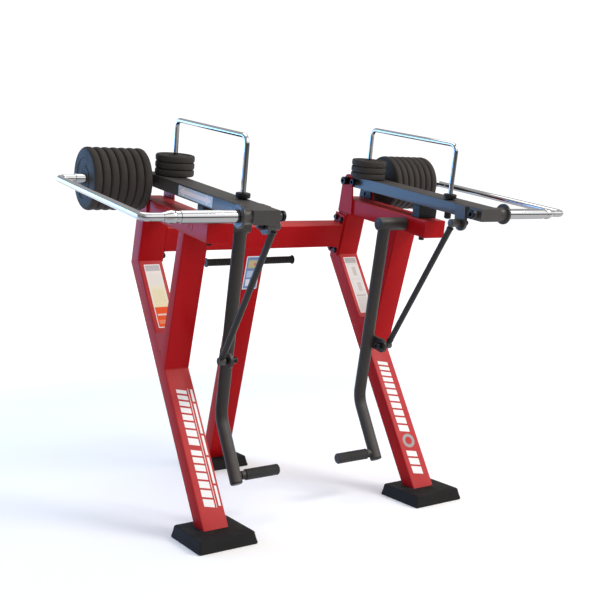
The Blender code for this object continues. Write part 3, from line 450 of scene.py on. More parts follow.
def fillet(points, radius, steps=14):
    out = [Vector(points[0])]
    for i in range(1, len(points) - 1):
        a, b, c = Vector(points[i - 1]), Vector(points[i]), Vector(points[i + 1])
        d0, d1 = (a - b).normalized(), (c - b).normalized()
        ang = d0.angle(d1)
        t = radius / math.tan(ang / 2.0)
        centre = b + (d0 + d1).normalized() * (radius / math.sin(ang / 2.0))
        p0, p1 = b + d0 * t, b + d1 * t
        v0, v1 = p0 - centre, p1 - centre
        total = v0.angle(v1)
        for k in range(steps + 1):
            f = k / steps
            w0 = math.sin((1 - f) * total) / math.sin(total)
            w1 = math.sin(f * total) / math.sin(total)
            out.append(centre + v0 * w0 + v1 * w1)
    out.append(Vector(points[-1]))
    return out


def sweep(pts, normal, r, n=40, radius=None, closed=False):
    """Round bar along a flat path; radius(i) may vary it."""
    nrm = Vector(normal).normalized()
    bm = bmesh.new()
    rings = []
    k_pts = len(pts)
    for i, p in enumerate(pts):
        if closed:
            t0 = (p - pts[i - 1]).normalized()
            t1 = (pts[(i + 1) % k_pts] - p).normalized()
        else:
            t0 = (p - pts[i - 1]).normalized() if i else (pts[1] - p).normalized()
            t1 = (pts[i + 1] - p).normalized() if i < k_pts - 1 else t0
        t = (t0 + t1).normalized()
        k = 1.0 / max(0.5, t.dot(t1))
        side = t.cross(nrm).normalized()
        up = side.cross(t).normalized()
        rr = radius(i) if radius else r
        rings.append([bm.verts.new(p + up * (rr * math.cos(2 * math.pi * j / n))
                                   + side * (k * rr * math.sin(2 * math.pi * j / n))) for j in range(n)])
    for i in range(k_pts if closed else k_pts - 1):
        q = rings[(i + 1) % k_pts]
        for j in range(n):
            j2 = (j + 1) % n
            bm.faces.new((rings[i][j], q[j], q[j2], rings[i][j2]))
    if not closed:
        bm.faces.new(rings[0])
        bm.faces.new(rings[-1])
    return bm


def resample(pts, step, closed=False):
    path = [Vector(p) for p in pts]
    if closed:
        path.append(path[0].copy())
    out = []
    for a, b in zip(path, path[1:]):
        k = max(1, int(round((b - a).length / step)))
        out += [a.lerp(b, i / k) for i in range(k)]
    if not closed:
        out.append(path[-1])
    return out


def bead(pts, normal, r=0.0022, closed=False, seed=0):
    """Weld bead with its ripples."""
    p = resample(pts, 0.0016, closed)
    ph = seed * 1.7

    def rad(i):
        return r * (1.0 + 0.13 * math.sin(i * 1.26 + ph) + 0.08 * noise.noise(p[i] * 90.0))
    return sweep(p, normal, r, 8, rad, closed)


def slab(corners, thick, nrm):
    """Thin sheet from flat corners, standing proud along nrm."""
    bm = bmesh.new()
    low = [bm.verts.new(Vector(c)) for c in corners]
    top = [bm.verts.new(Vector(c) + Vector(nrm) * thick) for c in corners]
    bm.faces.new(low)
    bm.faces.new(list(reversed(top)))
    k = len(corners)
    for i in range(k):
        bm.faces.new((low[i], top[i], top[(i + 1) % k], low[(i + 1) % k]))
    return bm


def set_uv(ob, origin, eu, ev, lu, lv):
    me = ob.data
    layer = me.uv_layers.new(name="panel")
    for lp in me.loops:
        p = me.vertices[lp.vertex_index].co - SHIFT - Vector(origin)
        layer.data[lp.index].uv = (p.dot(eu) / lu, p.dot(ev) / lv)


def rounded(origin, eu, ev, lu, lv, r, steps=5):
    """Corners of a rounded rectangle lu x lv at origin."""
    out = []
    for cx, cy, a0 in ((lu - r, lv - r, 0.0), (r, lv - r, 90.0), (r, r, 180.0), (lu - r, r, 270.0)):
        for k in range(steps + 1):
            a = math.radians(a0 + 90.0 * k / steps)
            out.append(Vector(origin) + eu * (cx + r * math.cos(a)) + ev * (cy + r * math.sin(a)))
    return out


def arm_point(s, n=0.0, x=0.0):
    return Vector((x, 0.0, ARM_Z0)) + ES * s + EN * n


def arm_s(y, n):
    return (y + n * math.sin(G)) / math.cos(G)


def arc(cy, cz, r, a0, a1, steps):
    return [(cy + r * math.cos(a0 + (a1 - a0) * k / steps), cz + r * math.sin(a0 + (a1 - a0) * k / steps))
            for k in range(steps + 1)]


def leg_front(z):
    return LEG_Y0 + (z - LEG_Z0) * LEG_TAN


def hex_bolt(o, axis, h0, h1, af, washer_r, washer_t, h_tip=None, shank=0.0055):
    """Hex head from h0 to h1 on a washer, h running along axis away from the seat."""
    head = lathe([(h0, 0.0), (h0, af * 0.96), (h0 + 0.0003, af, 6), (h1 - 0.0014, af, 6), (h1, af * 0.93), (h1, af * 0.55),
                  (h1 - 0.0004, af * 0.52), (h1 - 0.0004, 0.0)], o, axis, 48)
    wash = lathe([(h0 - washer_t, 0.0), (h0 - washer_t, washer_r - 0.0003), (h0 - washer_t + 0.0003, washer_r),
                  (h0 - 0.0003, washer_r), (h0, washer_r - 0.0003), (h0, 0.0)], o, axis, 48)
    parts = [head, wash]
    if h_tip is not None:
        parts.append(lathe([(h0 - washer_t - 0.001, 0.0), (h0 - washer_t - 0.001, shank), (h_tip, shank), (h_tip, 0.0)], o, axis, 24))
    return merge(*parts)


def socket_head(o, axis, h0, h1, r, hexa, depth=0.006, n=48):
    """Cap head from its seat at h0 to its face at h1, with a hexagon socket."""
    s = 1.0 if h1 > h0 else -1.0
    return lathe([(h0, 0.0), (h0, r - 0.0004), (h0 + s * 0.0004, r), (h1 - s * 0.0014, r), (h1 - s * 0.0004, r - 0.0010),
                  (h1, r - 0.0022), (h1, hexa + 0.0016), (h1 - s * 0.0005, hexa + 0.0006), (h1 - s * 0.0009, hexa, 6),
                  (h1 - s * depth, hexa, 6), (h1 - s * (depth + 0.001), 0.0)], o, axis, n)


# -------------------------------------------------------------- frame outlines
LEG_OFF = D / math.cos(math.atan(LEG_TAN))
POST_OFF = D / math.cos(math.atan(POST_TAN))
FP_OFF = DF / math.cos(math.atan(POST_TAN))
BEAM_TAN = math.tan(G)
KNEE_Y, FORK_Y = leg_front(KNEE_Z), leg_front(FORK_Z)
KR_Z = (KNEE_Y + POST_OFF + KNEE_Z * POST_TAN - (LEG_Y0 + LEG_OFF - LEG_Z0 * LEG_TAN)) / (LEG_TAN + POST_TAN)
KR_Y = leg_front(KR_Z) + LEG_OFF


def under_beam(y0, z0, into):
    z = (BEAM_Z0 + into + BEAM_TAN * (y0 + POST_TAN * z0)) / (1.0 + BEAM_TAN * POST_TAN)
    return (y0 - (z - z0) * POST_TAN, z)


def beam_pt(y, up=0.0):
    return (y - up * math.sin(G), BEAM_Z0 + y * BEAM_TAN + up * math.cos(G))


LEG_POLY = [(leg_front(FOOT_H - 0.004), FOOT_H - 0.004), (KNEE_Y, KNEE_Z), (KR_Y, KR_Z),
            (leg_front(FOOT_H - 0.004) + LEG_OFF, FOOT_H - 0.004)]
REAR_POST_POLY = [(KNEE_Y, KNEE_Z), under_beam(KNEE_Y, KNEE_Z, 0.003),
                  under_beam(KNEE_Y + POST_OFF, KNEE_Z, 0.003), (KR_Y, KR_Z)]
_p0 = (FORK_Y, FORK_Z)
_b = FORK_Y + FP_OFF + FORK_Z * POST_TAN
_z1 = (_b - (LEG_Y0 - LEG_Z0 * LEG_TAN)) / (LEG_TAN + POST_TAN)
_p1 = (_b - _z1 * POST_TAN, _z1)
_w0 = (_b - WEB_ZB * POST_TAN, WEB_ZB)
_w1 = (leg_front(WEB_ZA), WEB_ZA)
FRONT_POST_POLY = [_p0, under_beam(FORK_Y, FORK_Z, 0.003), under_beam(FORK_Y + FP_OFF, FORK_Z, 0.003), _w0, _w1,
                   (_w1[0] + 0.004, _w1[1] - 0.004), (_p1[0] + 0.004, _p1[1] - 0.001), (_p0[0] + 0.004, _p0[1] + 0.001)]
BEAM_POLY = [beam_pt(BEAM_Y_FRONT), beam_pt(BEAM_Y_FRONT, D), beam_pt(BEAM_Y_REAR, D), beam_pt(BEAM_Y_REAR)]

R = math.radians(REAR_DEG)
CU = Vector((-math.sin(R), math.cos(R)))
CN = Vector((math.cos(R), math.sin(R)))
CU3 = Vector((0.0, CU.x, CU.y))
CN3 = Vector((0.0, CN.x, CN.y))


def cross_pt(u, n):
    return (CROSS_Y + CU.x * u + CN.x * n, CROSS_Z + CU.y * u + CN.y * n)


def over_beam(s, n):
    """Point s along the beam and n above its top face."""
    return beam_pt(s * math.cos(G), D + n)


BRACKET_POLY = ([(0.4125, 1.1392), (0.5095, 1.1562), (0.4955, 1.2045), (0.4790, 1.2680)]
                + arc(PIV_Y, PIV_Z, 0.028, math.radians(28), math.radians(175), 20)
                + [(0.4065, 1.2096)])
LEG_UP = Vector((0.0, LEG_TAN, 1.0)).normalized()          # up the leg's front face
LEG_OUT = Vector((0.0, -1.0, LEG_TAN)).normalized()        # out of it


def yz(p, x):
    return Vector((x, p[0], p[1]))


def foot(cx, cy, name, node):
    bm = bmesh.new()
    levels = [(0.0, FOOT_B - 0.0025), (0.0008, FOOT_B - 0.0010), (0.0028, FOOT_B), (0.0080, FOOT_B - 0.0001),
              (0.0092, FOOT_B - 0.0008), (0.0104, FOOT_B - 0.0012), (0.0250, FOOT_B - 0.0049),
              (FOOT_H - 0.0045, FOOT_T + 0.0012), (FOOT_H - 0.0030, FOOT_T + 0.0005), (FOOT_H - 0.0016, FOOT_T - 0.0006),
              (FOOT_H - 0.0005, FOOT_T - 0.0022), (FOOT_H, FOOT_T - 0.0045)]
    rows = []
    for z, h in levels:
        r = 0.0075
        row = []
        for qx, qy, a0 in ((1, 1, 0), (-1, 1, 90), (-1, -1, 180), (1, -1, 270)):
            for k in range(7):
                a = math.radians(a0 + 15.0 * k)
                row.append(bm.verts.new((cx + qx * (h - r) + r * math.cos(a), cy + qy * (h - r) + r * math.sin(a), z)))
        rows.append(row)
    for i in range(len(rows) - 1):
        k = len(rows[i])
        for j in range(k):
            bm.faces.new((rows[i][j], rows[i][(j + 1) % k], rows[i + 1][(j + 1) % k], rows[i + 1][j]))
    bm.faces.new(list(reversed(rows[0])))
    bm.faces.new(rows[-1])
    return link(name, bm, FOOT, "frame", (node,), angle=60.0)


def saddle(centre, axis_dir, tube_dir, r_tube, r_hub, sgn, n=72):
    """Curve where a tube of r_tube meets a crossing tube of r_hub, sgn along tube_dir."""
    a, t = Vector(axis_dir), Vector(tube_dir)
    w = a.cross(t).normalized()
    out = []
    for k in range(n):
        f = 2 * math.pi * k / n
        d = r_tube * math.sin(f)
        h = math.sqrt(max(1e-9, r_hub * r_hub - d * d))
        out.append(Vector(centre) + a * (r_tube * math.cos(f)) + w * d + t * (sgn * h))
    return out


def free_bead(pts, r=0.0020, n=8):
    """Closed bead along a curve that isn't flat."""
    bm = bmesh.new()
    k_pts = len(pts)
    mid = sum(pts, Vector()) / k_pts
    rings = []
    for i, p in enumerate(pts):
        t = (pts[(i + 1) % k_pts] - pts[i - 1]).normalized()
        out = (p - mid)
        out = (out - t * out.dot(t)).normalized()
        w = t.cross(out)
        rr = r * (1.0 + 0.10 * math.sin(i * 1.57))
        rings.append([bm.verts.new(p + out * (rr * math.cos(2 * math.pi * j / n)) + w * (rr * math.sin(2 * math.pi * j / n)))
                      for j in range(n)])
    for i in range(k_pts):
        q = rings[(i + 1) % k_pts]
        for j in range(n):
            j2 = (j + 1) % n
            bm.faces.new((rings[i][j], q[j], q[j2], rings[i][j2]))
    return bm


def big_plate(x0, x1, origin, axis, inner_end, outer_end):
    """One tyre-edged weight plate with stepped faces."""
    rb = PIN_SLEEVE_R + 0.0007
    t = x1 - x0
    ah, ar = 0.0120, 0.0116
    prof = [(0.0014, rb), (0.0004, rb + 0.0012), (0.0, rb + 0.0030)]
    face = [(0.0230, 0.0), (0.0238, 0.0012), (0.0258, 0.0012), (0.0266, 0.0), (0.0440, 0.0), (0.0450, 0.0018),
            (0.0462, 0.0021), (0.0735, 0.0021), (0.0748, 0.0018), (0.0758, 0.0), (0.0960, 0.0), (BIG_R - ar, 0.00015)]
    prof += [(d, r) for r, d in face]
    rim = []
    for k in range(1, 10):
        a = math.pi / 2 * k / 9
        rim.append((ah * (1 - math.cos(a)) + 0.00015, BIG_R - ar + ar * math.sin(a) - 0.0004))
    crown = [(ah + (t - 2 * ah) * f, BIG_R - 0.0004 * (2 * f - 1) ** 2) for f in (0.2, 0.4, 0.6, 0.8)]
    prof += rim + crown
    prof += [(t - h, r) for h, r in reversed(rim)]
    prof += [(t - d, r) for r, d in reversed(face)]
    prof += [(t, rb + 0.0030), (t - 0.0004, rb + 0.0012), (t - 0.0014, rb)]
    return lathe([(x0 + h, r) for h, r in prof], origin, axis, 112)


def small_plate(h0, h1, origin, axis):
    """One small plate with a raised rim, a dished web and a hub."""
    rb = LOCK_R + 0.0010
    t = h1 - h0
    ah, ar = 0.0072, 0.0064
    face = [(0.0140, 0.0006), (0.0150, 0.0), (0.0225, 0.0), (0.0240, 0.0010), (0.0262, 0.0042), (0.0285, 0.0048),
            (0.0500, 0.0048), (0.0530, 0.0042), (0.0558, 0.0010), (0.0574, 0.0), (SMALL_R - ar, 0.0002)]
    rim = []
    for k in range(1, 9):
        a = math.pi / 2 * k / 8
        rim.append((ah * (1 - math.cos(a)) + 0.0002, SMALL_R - ar + ar * math.sin(a) - 0.0002))
    prof = [(0.0012, rb), (0.0006, rb + 0.0006)] + [(d, r) for r, d in face] + rim
    prof += [(t * f, SMALL_R) for f in (0.4, 0.5, 0.6)]
    prof += [(t - h, r) for h, r in reversed(rim)] + [(t - d, r) for r, d in reversed(face)]
    prof += [(t - 0.0006, rb + 0.0006), (t - 0.0012, rb)]
    return lathe([(h0 + h, r) for h, r in prof], origin, axis, 96)


def ribs(x0, x1, r, deep, pitch):
    """Rounded ribs between x0 and x1."""
    k = max(1, int(round((x1 - x0) / pitch)))
    p = (x1 - x0) / k
    out = []
    for i in range(k):
        for f, d in ((0.0, 1.0), (0.16, 0.55), (0.34, 0.08), (0.5, 0.0), (0.66, 0.08), (0.84, 0.55)):
            out.append((x0 + (i + f) * p, r - deep * d))
    out.append((x1, r - deep))
    return out


# ------------------------------------------------------------------ side frames
for side, sx in (("left", -1.0), ("right", 1.0)):
    xm = sx * XS
    xa, xb_ = xm - W / 2, xm + W / 2
    ax = EX * sx
    lever_b, roller_b, rod_b = "lever_" + side, "roller_" + side, "rod_" + side
    arm_b, stack_b, small_b = "arm_" + side, "stack_" + side, "small_stack_" + side

    link("leg_tube_" + side, prism(LEG_POLY, xa, xb_, CH), RED, "frame", ("frame_leg_" + side,), bevel=0.0006)
    link("rear_post_tube_" + side, prism(REAR_POST_POLY, xa, xb_, CH), RED, "frame",
         ("frame_rear_post_" + side,), bevel=0.0006)
    link("front_post_tube_" + side, prism(FRONT_POST_POLY, xa, xb_, CH), RED, "frame",
         ("frame_front_post_" + side,), bevel=0.0006)
    link("top_beam_tube_" + side, prism(BEAM_POLY, xa, xb_, CH), RED, "frame",
         ("frame_top_beam_" + side,), bevel=0.0014, seg=3)
    for tag, x0 in (("inner", XS - W / 2 - PLATE_T), ("outer", XS + W / 2)):
        link("bracket_plate_%s_%s" % (tag, side), prism(BRACKET_POLY, sx * x0, sx * (x0 + PLATE_T)), RED,
             "frame", bevel=0.0011, seg=3, limit=28.0)
    top = (ARM_Z0 - BEAM_Z0) * math.cos(G) - ARM_H

    # welds of the side frame, painted over
    wp = []
    for x0, tg in ((XS - W / 2, 1), (XS + W / 2, 2)):
        pth = [(0.4072, 1.2010), (0.4122, 1.1386), (0.5098, 1.1558), (0.4992, 1.1950)]
        wp.append(bead([yz(p, sx * x0) for p in pth], EX, 0.0026, False, tg))
    q = under_beam(KNEE_Y, KNEE_Z, 0.0), under_beam(KNEE_Y + POST_OFF, KNEE_Z, 0.0), \
        under_beam(FORK_Y, FORK_Z, 0.0), under_beam(FORK_Y + FP_OFF, FORK_Z, 0.0)
    for p in q:
        wp.append(bead([yz(p, xa + 0.006), yz(p, xb_ - 0.006)], UP, 0.0022, False, 4))
    for p in (_p0, _w1):
        wp.append(bead([yz(p, xa + 0.006), yz(p, xb_ - 0.006)], UP, 0.0021, False, 5))
    link("frame_welds_" + side, merge(*wp), RED, "frame", angle=80.0)

    # pad on the outer bracket plate, with its square recess
    xo, xi, xr = sx * PAD_X1, sx * PAD_X0, sx * (PAD_X0 + 0.0045)
    bm = bmesh.new()
    hole = [over_beam(*q_) for q_ in ((0.4570, 0.0100), (0.4780, 0.0100), (0.4780, 0.0255), (0.4570, 0.0255))]
    edge_ = [over_beam(*q_) for q_ in PAD_SN]
    back = [bm.verts.new(yz(p, xo)) for p in edge_]
    front = [bm.verts.new(yz(p, xi)) for p in edge_]
    rim = [bm.verts.new(yz(p, xi)) for p in hole]
    deep = [bm.verts.new(yz(p, xr)) for p in hole]
    bm.faces.new(back)
    bm.faces.new(deep)
    for i in range(5):
        j = (i + 1) % 5
        bm.faces.new((back[i], back[j], front[j], front[i]))
    for quad in ((0, 1, 1, 0), (1, 2, 2, 1), (3, 4, 3, 2), (4, 0, 0, 3)):
        bm.faces.new((front[quad[0]], front[quad[1]], rim[quad[2]], rim[quad[3]]))
    bm.faces.new((front[2], front[3], rim[2]))
    for i in range(4):
        j = (i + 1) % 4
        bm.faces.new((rim[i], rim[j], deep[j], deep[i]))
    link("bracket_pad_piece_" + side, bm, PADS, "frame", ("bracket_pad_" + side,), bevel=0.0008, seg=3, limit=28.0)

    pad = prism([beam_pt(BUMP_Y0, D + 0.0002), beam_pt(BUMP_Y1, D + 0.0002), beam_pt(BUMP_Y1, top - 0.0006), beam_pt(BUMP_Y0, top - 0.0006)],
                sx * (XS - BUMP_HW), sx * (XS + BUMP_HW))
    link("bumper_pad_" + side, pad, PADS, "frame", ("arm_bumper_" + side,), bevel=0.0030, seg=4)
    by, bz = beam_pt((BUMP_Y0 + BUMP_Y1) / 2)
    link("bumper_fixing_" + side, hex_bolt((xm, by, bz), -EN, 0.0028, 0.0218, 0.0098, 0.0130, 0.0025), OXIDE,
         "frame", ("bumper_bolt_" + side,), angle=30.0)

    # lever shaft: welded boss disc on the outer side, bright end towards the hub
    shaft = lathe([(0.3000, 0.0), (0.3000, SHAFT_R - 0.001), (0.3010, SHAFT_R), (XS + W / 2 + 0.0002, SHAFT_R),
                   (XS + W / 2 + 0.0005, SHAFT_R - 0.0008), (XS + W / 2 + 0.0005, 0.0)], (0, LEV_Y, LEV_Z), ax)
    link("lever_axle_" + side, shaft, STEEL, "frame", ("lever_shaft_" + side,), angle=30.0)
    cap = lathe([(XS + W / 2 - 0.001, 0.0), (XS + W / 2 - 0.001, SHAFT_R + 0.0016), (XS + W / 2 + 0.0006, SHAFT_R + 0.0010),
                 (XS + W / 2 + 0.0011, SHAFT_R - 0.0004), (XS + W / 2 + 0.0006, SHAFT_R - 0.0016),
                 (XS + W / 2 + 0.0007, 0.0)], (0, LEV_Y, LEV_Z), ax)
    link("axle_end_" + side, cap, RED, "frame", angle=50.0)

    xi_, xo_ = XS - W / 2 - PLATE_T, XS + W / 2 + PLATE_T
    o = (0, PIV_Y, PIV_Z)
    piv = merge(socket_head(o, ax, xi_ - 0.0012, xi_ - 0.0280, 0.0168, 0.0068, 0.007),
                lathe([(xi_ - 0.0013, 0.0), (xi_ - 0.0013, 0.0166), (xi_ - 0.0002, 0.0170), (xi_ - 0.0002, 0.0)], o, ax, 48),
                lathe([(xi_ - 0.002, 0.0), (xi_ - 0.002, PIV_R), (xo_ + 0.002, PIV_R), (xo_ + 0.002, 0.0)], o, ax, 32),
                lathe([(xo_ + 0.0003, 0.0), (xo_ + 0.0003, 0.0138), (xo_ + 0.0014, 0.0140), (xo_ + 0.0020, 0.0136), (xo_ + 0.0022, 0.0118, 6),
                       (xo_ + 0.0100, 0.0118, 6), (xo_ + 0.0112, 0.0108), (xo_ + 0.0140, 0.0096), (xo_ + 0.0145, 0.0080),
                       (xo_ + 0.0145, 0.0)], o, ax, 48),
                lathe([(xo_ + 0.012, 0.0), (xo_ + 0.012, PIV_R - 0.001), (xo_ + 0.0170, PIV_R - 0.001), (xo_ + 0.0178, PIV_R - 0.002),
                       (xo_ + 0.0178, 0.0)], o, ax, 32))
    link("arm_pivot_fixing_" + side, piv, OXIDE, "frame", ("arm_pivot_bolt_" + side,), angle=30.0)

    xf = XS - W / 2 - 0.0003 - FLANGE_T
    bl = []
    for du in (-BOLT_U, BOLT_U):
        for dn in (-BOLT_N, BOLT_N):
            y, z = cross_pt(du, dn)
            bl.append(hex_bolt((sx * (xf - 0.0003), y, z), -ax, 0.0022, 0.0104, 0.0098, 0.0125, 0.0022))
    link("flange_bolts_" + side, merge(*bl), OXIDE, "frame", ("crossbeam_bolts_" + side,), angle=30.0)

    # small dark rubber disc on the leg's outer face, just above the fork
    dark_disc_c = (sx * (XS + W / 2), PLUG_Y, PLUG_Z)
    link("leg_dark_disc_" + side, lathe([(-0.0010, 0.0), (-0.0010, 0.0034), (0.0004, 0.0036), (0.0009, 0.0030), (0.0011, 0.0016), (0.0011, 0.0)],
                                   dark_disc_c, ax, 24), FOOT, "frame", angle=40.0)

    foot(xm, 0.0, "foot_cap_" + side, "foot_" + side)

    # ------------------------------------------------------------ handle grip
    prof = [(0.2049, 0.0), (0.2049, 0.0128), (0.0510, 0.0128), (0.0510, GRIP_R - 0.0008), (0.0518, GRIP_R), (0.0560, GRIP_R)]
    prof += ribs(0.0575, 0.1985, GRIP_R + 0.0007, 0.0028, 0.0090)
    prof += [(0.1995, GRIP_R), (0.2032, GRIP_R), (0.2040, GRIP_R + 0.0008), (0.2044, 0.0180), (0.2052, 0.0191), (0.2064, 0.0193),
             (0.2078, 0.0190), (0.2087, 0.0180), (GRIP_END, 0.0165), (GRIP_END, 0.0060), (GRIP_END - 0.0006, 0.0052), (GRIP_END - 0.0006, 0.0)]
    link("grip_sleeve_" + side, lathe(prof, (0, HANDLE_Y, HANDLE_Z), ax, 56), HOLD, "frame",
         ("handle_grip_" + side,), angle=50.0)

    # ------------------------------------------------------------------- lever
    lx = sx * LEV_X
    path = fillet([(lx, LEV_Y, LEV_Z), (lx, BEND_Y, BEND_Z), (lx, LEV_END_Y, LEV_END_Z)], BEND_RAD, 20)
    low = (Vector((0, LEV_END_Y, LEV_END_Z)) - Vector((0, BEND_Y, BEND_Z))).normalized()
    up_dir = (Vector((0, BEND_Y, BEND_Z)) - Vector((0, LEV_Y, LEV_Z))).normalized()
    link("lever_tube_" + side, sweep(path, EX, LEV_R, 56), LEVER_BLACK, lever_b, ("lever_" + side,), bevel=0.0009)
    hub = lathe([(HUB_X0 + 0.0015, 0.0), (HUB_X0 + 0.0015, 0.0085), (HUB_X0 + 0.0006, 0.0096), (HUB_X0 + 0.0006, 0.0118),
                 (HUB_X0 + 0.0011, 0.0126), (HUB_X0 + 0.0011, 0.0215), (HUB_X0, 0.0224), (HUB_X0, HUB_R - 0.0014),
                 (HUB_X0 + 0.0005, HUB_R - 0.0004), (HUB_X0 + 0.0015, HUB_R), (HUB_X1 - 0.0012, HUB_R), (HUB_X1 - 0.0003, HUB_R - 0.0005),
                 (HUB_X1, HUB_R - 0.0014), (HUB_X1, 0.0198), (HUB_X0 + 0.0045, 0.0198), (HUB_X0 + 0.0045, 0.0)],
                (0, LEV_Y, LEV_Z), ax, 72)
    dot = lathe([(HUB_X0 + 0.0020, 0.0), (HUB_X0 + 0.0020, 0.0022), (HUB_X0 + 0.0010, 0.0019), (HUB_X0 + 0.0007, 0.0)], (0, LEV_Y, LEV_Z), ax, 20)
    link("lever_hub_" + side, merge(hub, dot), LEVER_BLACK, lever_b, angle=38.0)
    plug = lathe([(-0.006, 0.0), (-0.006, LEV_R - 0.0014), (0.0010, LEV_R - 0.0014), (0.0012, LEV_R - 0.0004), (0.0030, LEV_R - 0.0008),
                  (0.0050, LEV_R - 0.0026), (0.0063, LEV_R - 0.0058), (0.0069, LEV_R - 0.0110), (0.0070, 0.0)],
                 (lx, LEV_END_Y, LEV_END_Z), low, 56)
    link("lever_end_plug_" + side, plug, NYLON, lever_b, angle=50.0)
    axis_y = LEV_Y + (LEV_Z - LUG_Z) * (BEND_Y - LEV_Y) / (LEV_Z - BEND_Z)
    lug_poly = [(axis_y + 0.004, LUG_Z - 0.012), (axis_y - 0.006, LUG_Z + 0.038)] \
        + arc(LUG_Y, LUG_Z, LUG_R, math.radians(75), math.radians(275), 30)
    link("lever_lug_" + side, prism(lug_poly, sx * LUG_X0, sx * LUG_X1), LEVER_BLACK, lever_b, bevel=0.0012, seg=3, limit=28.0)
    stub = lathe([(LEV_X, 0.0), (LEV_X, 0.011), (0.2995, 0.0112), (0.2985, 0.0118), (0.2972, 0.0160), (0.2955, 0.0166), (0.2830, 0.0166),
                  (0.2812, 0.0160), (0.2806, 0.0150), (0.2806, 0.0105), (0.1425, 0.0105), (0.1425, 0.0)], (0, ROLL_Y, ROLL_Z), ax, 48)
    wl = [free_bead(saddle((lx, LEV_Y, LEV_Z), EX, up_dir, LEV_R, HUB_R, 1.0), 0.0022)]
    lc = Vector((lx, LUG_Y, LUG_Z))
    w_dir = EX.cross(up_dir).normalized()
    for x0 in (LUG_X0, LUG_X1):
        dx = x0 - LEV_X
        hgt = math.sqrt(max(1e-9, LEV_R ** 2 - dx ** 2)) if abs(dx) < LEV_R else 0.0
        if hgt > 0.0:
            ay = Vector((sx * x0, axis_y, LUG_Z))
            fr = -1.0 if w_dir.y > 0 else 1.0
            p = ay + w_dir * (fr * hgt)
            wl.append(bead([p - up_dir * 0.046, p + up_dir * 0.024], EX, 0.0019, False, 7))
    ld = low
    wd = EX.cross(ld).normalized()
    ring_pts = []
    for k in range(48):
        f = 2 * math.pi * k / 48
        a_, b_ = 0.0112 * math.cos(f), 0.0112 * math.sin(f)
        x_ = LEV_X - math.sqrt(LEV_R ** 2 - b_ ** 2)
        ring_pts.append(Vector((sx * x_, ROLL_Y, ROLL_Z)) + ld * a_ + wd * b_)
    wl.append(free_bead(ring_pts, 0.0018))
    link("lever_stub_" + side, stub, LEVER_BLACK, lever_b, angle=38.0)
    link("lever_welds_" + side, merge(*wl), LEVER_BLACK, lever_b, angle=80.0)

    lb = (0, LUG_Y, LUG_Z)
    bolt = merge(socket_head(lb, ax, LUG_X0 - 0.0022, 0.3186, 0.0124, 0.0055, 0.006),
                 lathe([(LUG_X0 - 0.0023, 0.0), (LUG_X0 - 0.0023, 0.0124), (LUG_X0 - 0.0004, 0.0125), (LUG_X0 - 0.0004, 0.0)], lb, ax, 40),
                 lathe([(LUG_X0 - 0.001, 0.0), (LUG_X0 - 0.001, 0.0074), (0.3908, 0.0074), (0.3908, 0.0)], lb, ax, 32),
                 lathe([(LUG_X1 + 0.0004, 0.0), (LUG_X1 + 0.0004, 0.0104, 6), (LUG_X1 + 0.0090, 0.0104, 6), (LUG_X1 + 0.0094, 0.0100), (LUG_X1 + 0.0094, 0.0)],
                       lb, ax, 48),
                 lathe([(LUG_X1 + 0.0096, 0.0), (LUG_X1 + 0.0096, 0.0116), (0.3664, 0.0116), (0.3672, 0.0104), (0.3672, 0.0)], lb, ax, 40))
    link("lug_fixing_" + side, bolt, OXIDE, lever_b, ("lug_bolt_" + side,), angle=30.0)

    # ------------------------------------------------------------------ roller
    prof = [(ROLL_X0 + 0.0004, 0.0), (ROLL_X0 + 0.0004, 0.0050), (ROLL_X0, 0.0062), (ROLL_X0, ROLL_R - 0.0052), (ROLL_X0 + 0.0008, ROLL_R - 0.0026),
            (ROLL_X0 + 0.0024, ROLL_R - 0.0008), (ROLL_X0 + 0.0045, ROLL_R), (ROLL_X0 + 0.0080, ROLL_R)]
    prof += ribs(ROLL_X0 + 0.0090, ROLL_X1 - 0.0065, ROLL_R, 0.0016, 0.0068)
    prof += [(ROLL_X1 - 0.0055, ROLL_R), (ROLL_X1 - 0.0012, ROLL_R), (ROLL_X1 - 0.0003, ROLL_R - 0.0007), (ROLL_X1, ROLL_R - 0.0020),
             (ROLL_X1, 0.0112), (0.1420, 0.0112), (0.1420, 0.0)]
    link("roller_sleeve_" + side, lathe(prof, (0, ROLL_Y, ROLL_Z), ax, 64), GRIP, roller_b, ("foot_roller_" + side,), angle=50.0)

    # ---------------------------------------------------------------- link rod
    a = Vector((sx * ROD_X, LUG_Y, LUG_Z))
    b = Vector((sx * ROD_X, TAB_Y, TAB_Z))
    d = (b - a).normalized()
    ln = (b - a).length
    thread = []
    k = 0
    h = 0.0135
    while h < 0.0203:
        thread.append((h, ROD_NECK_R - (0.0005 if k % 2 else 0.0)))
        h += 0.0007
        k += 1
    n0, n1 = ROD_NECK_L, ROD_NECK_L + COLLAR_L

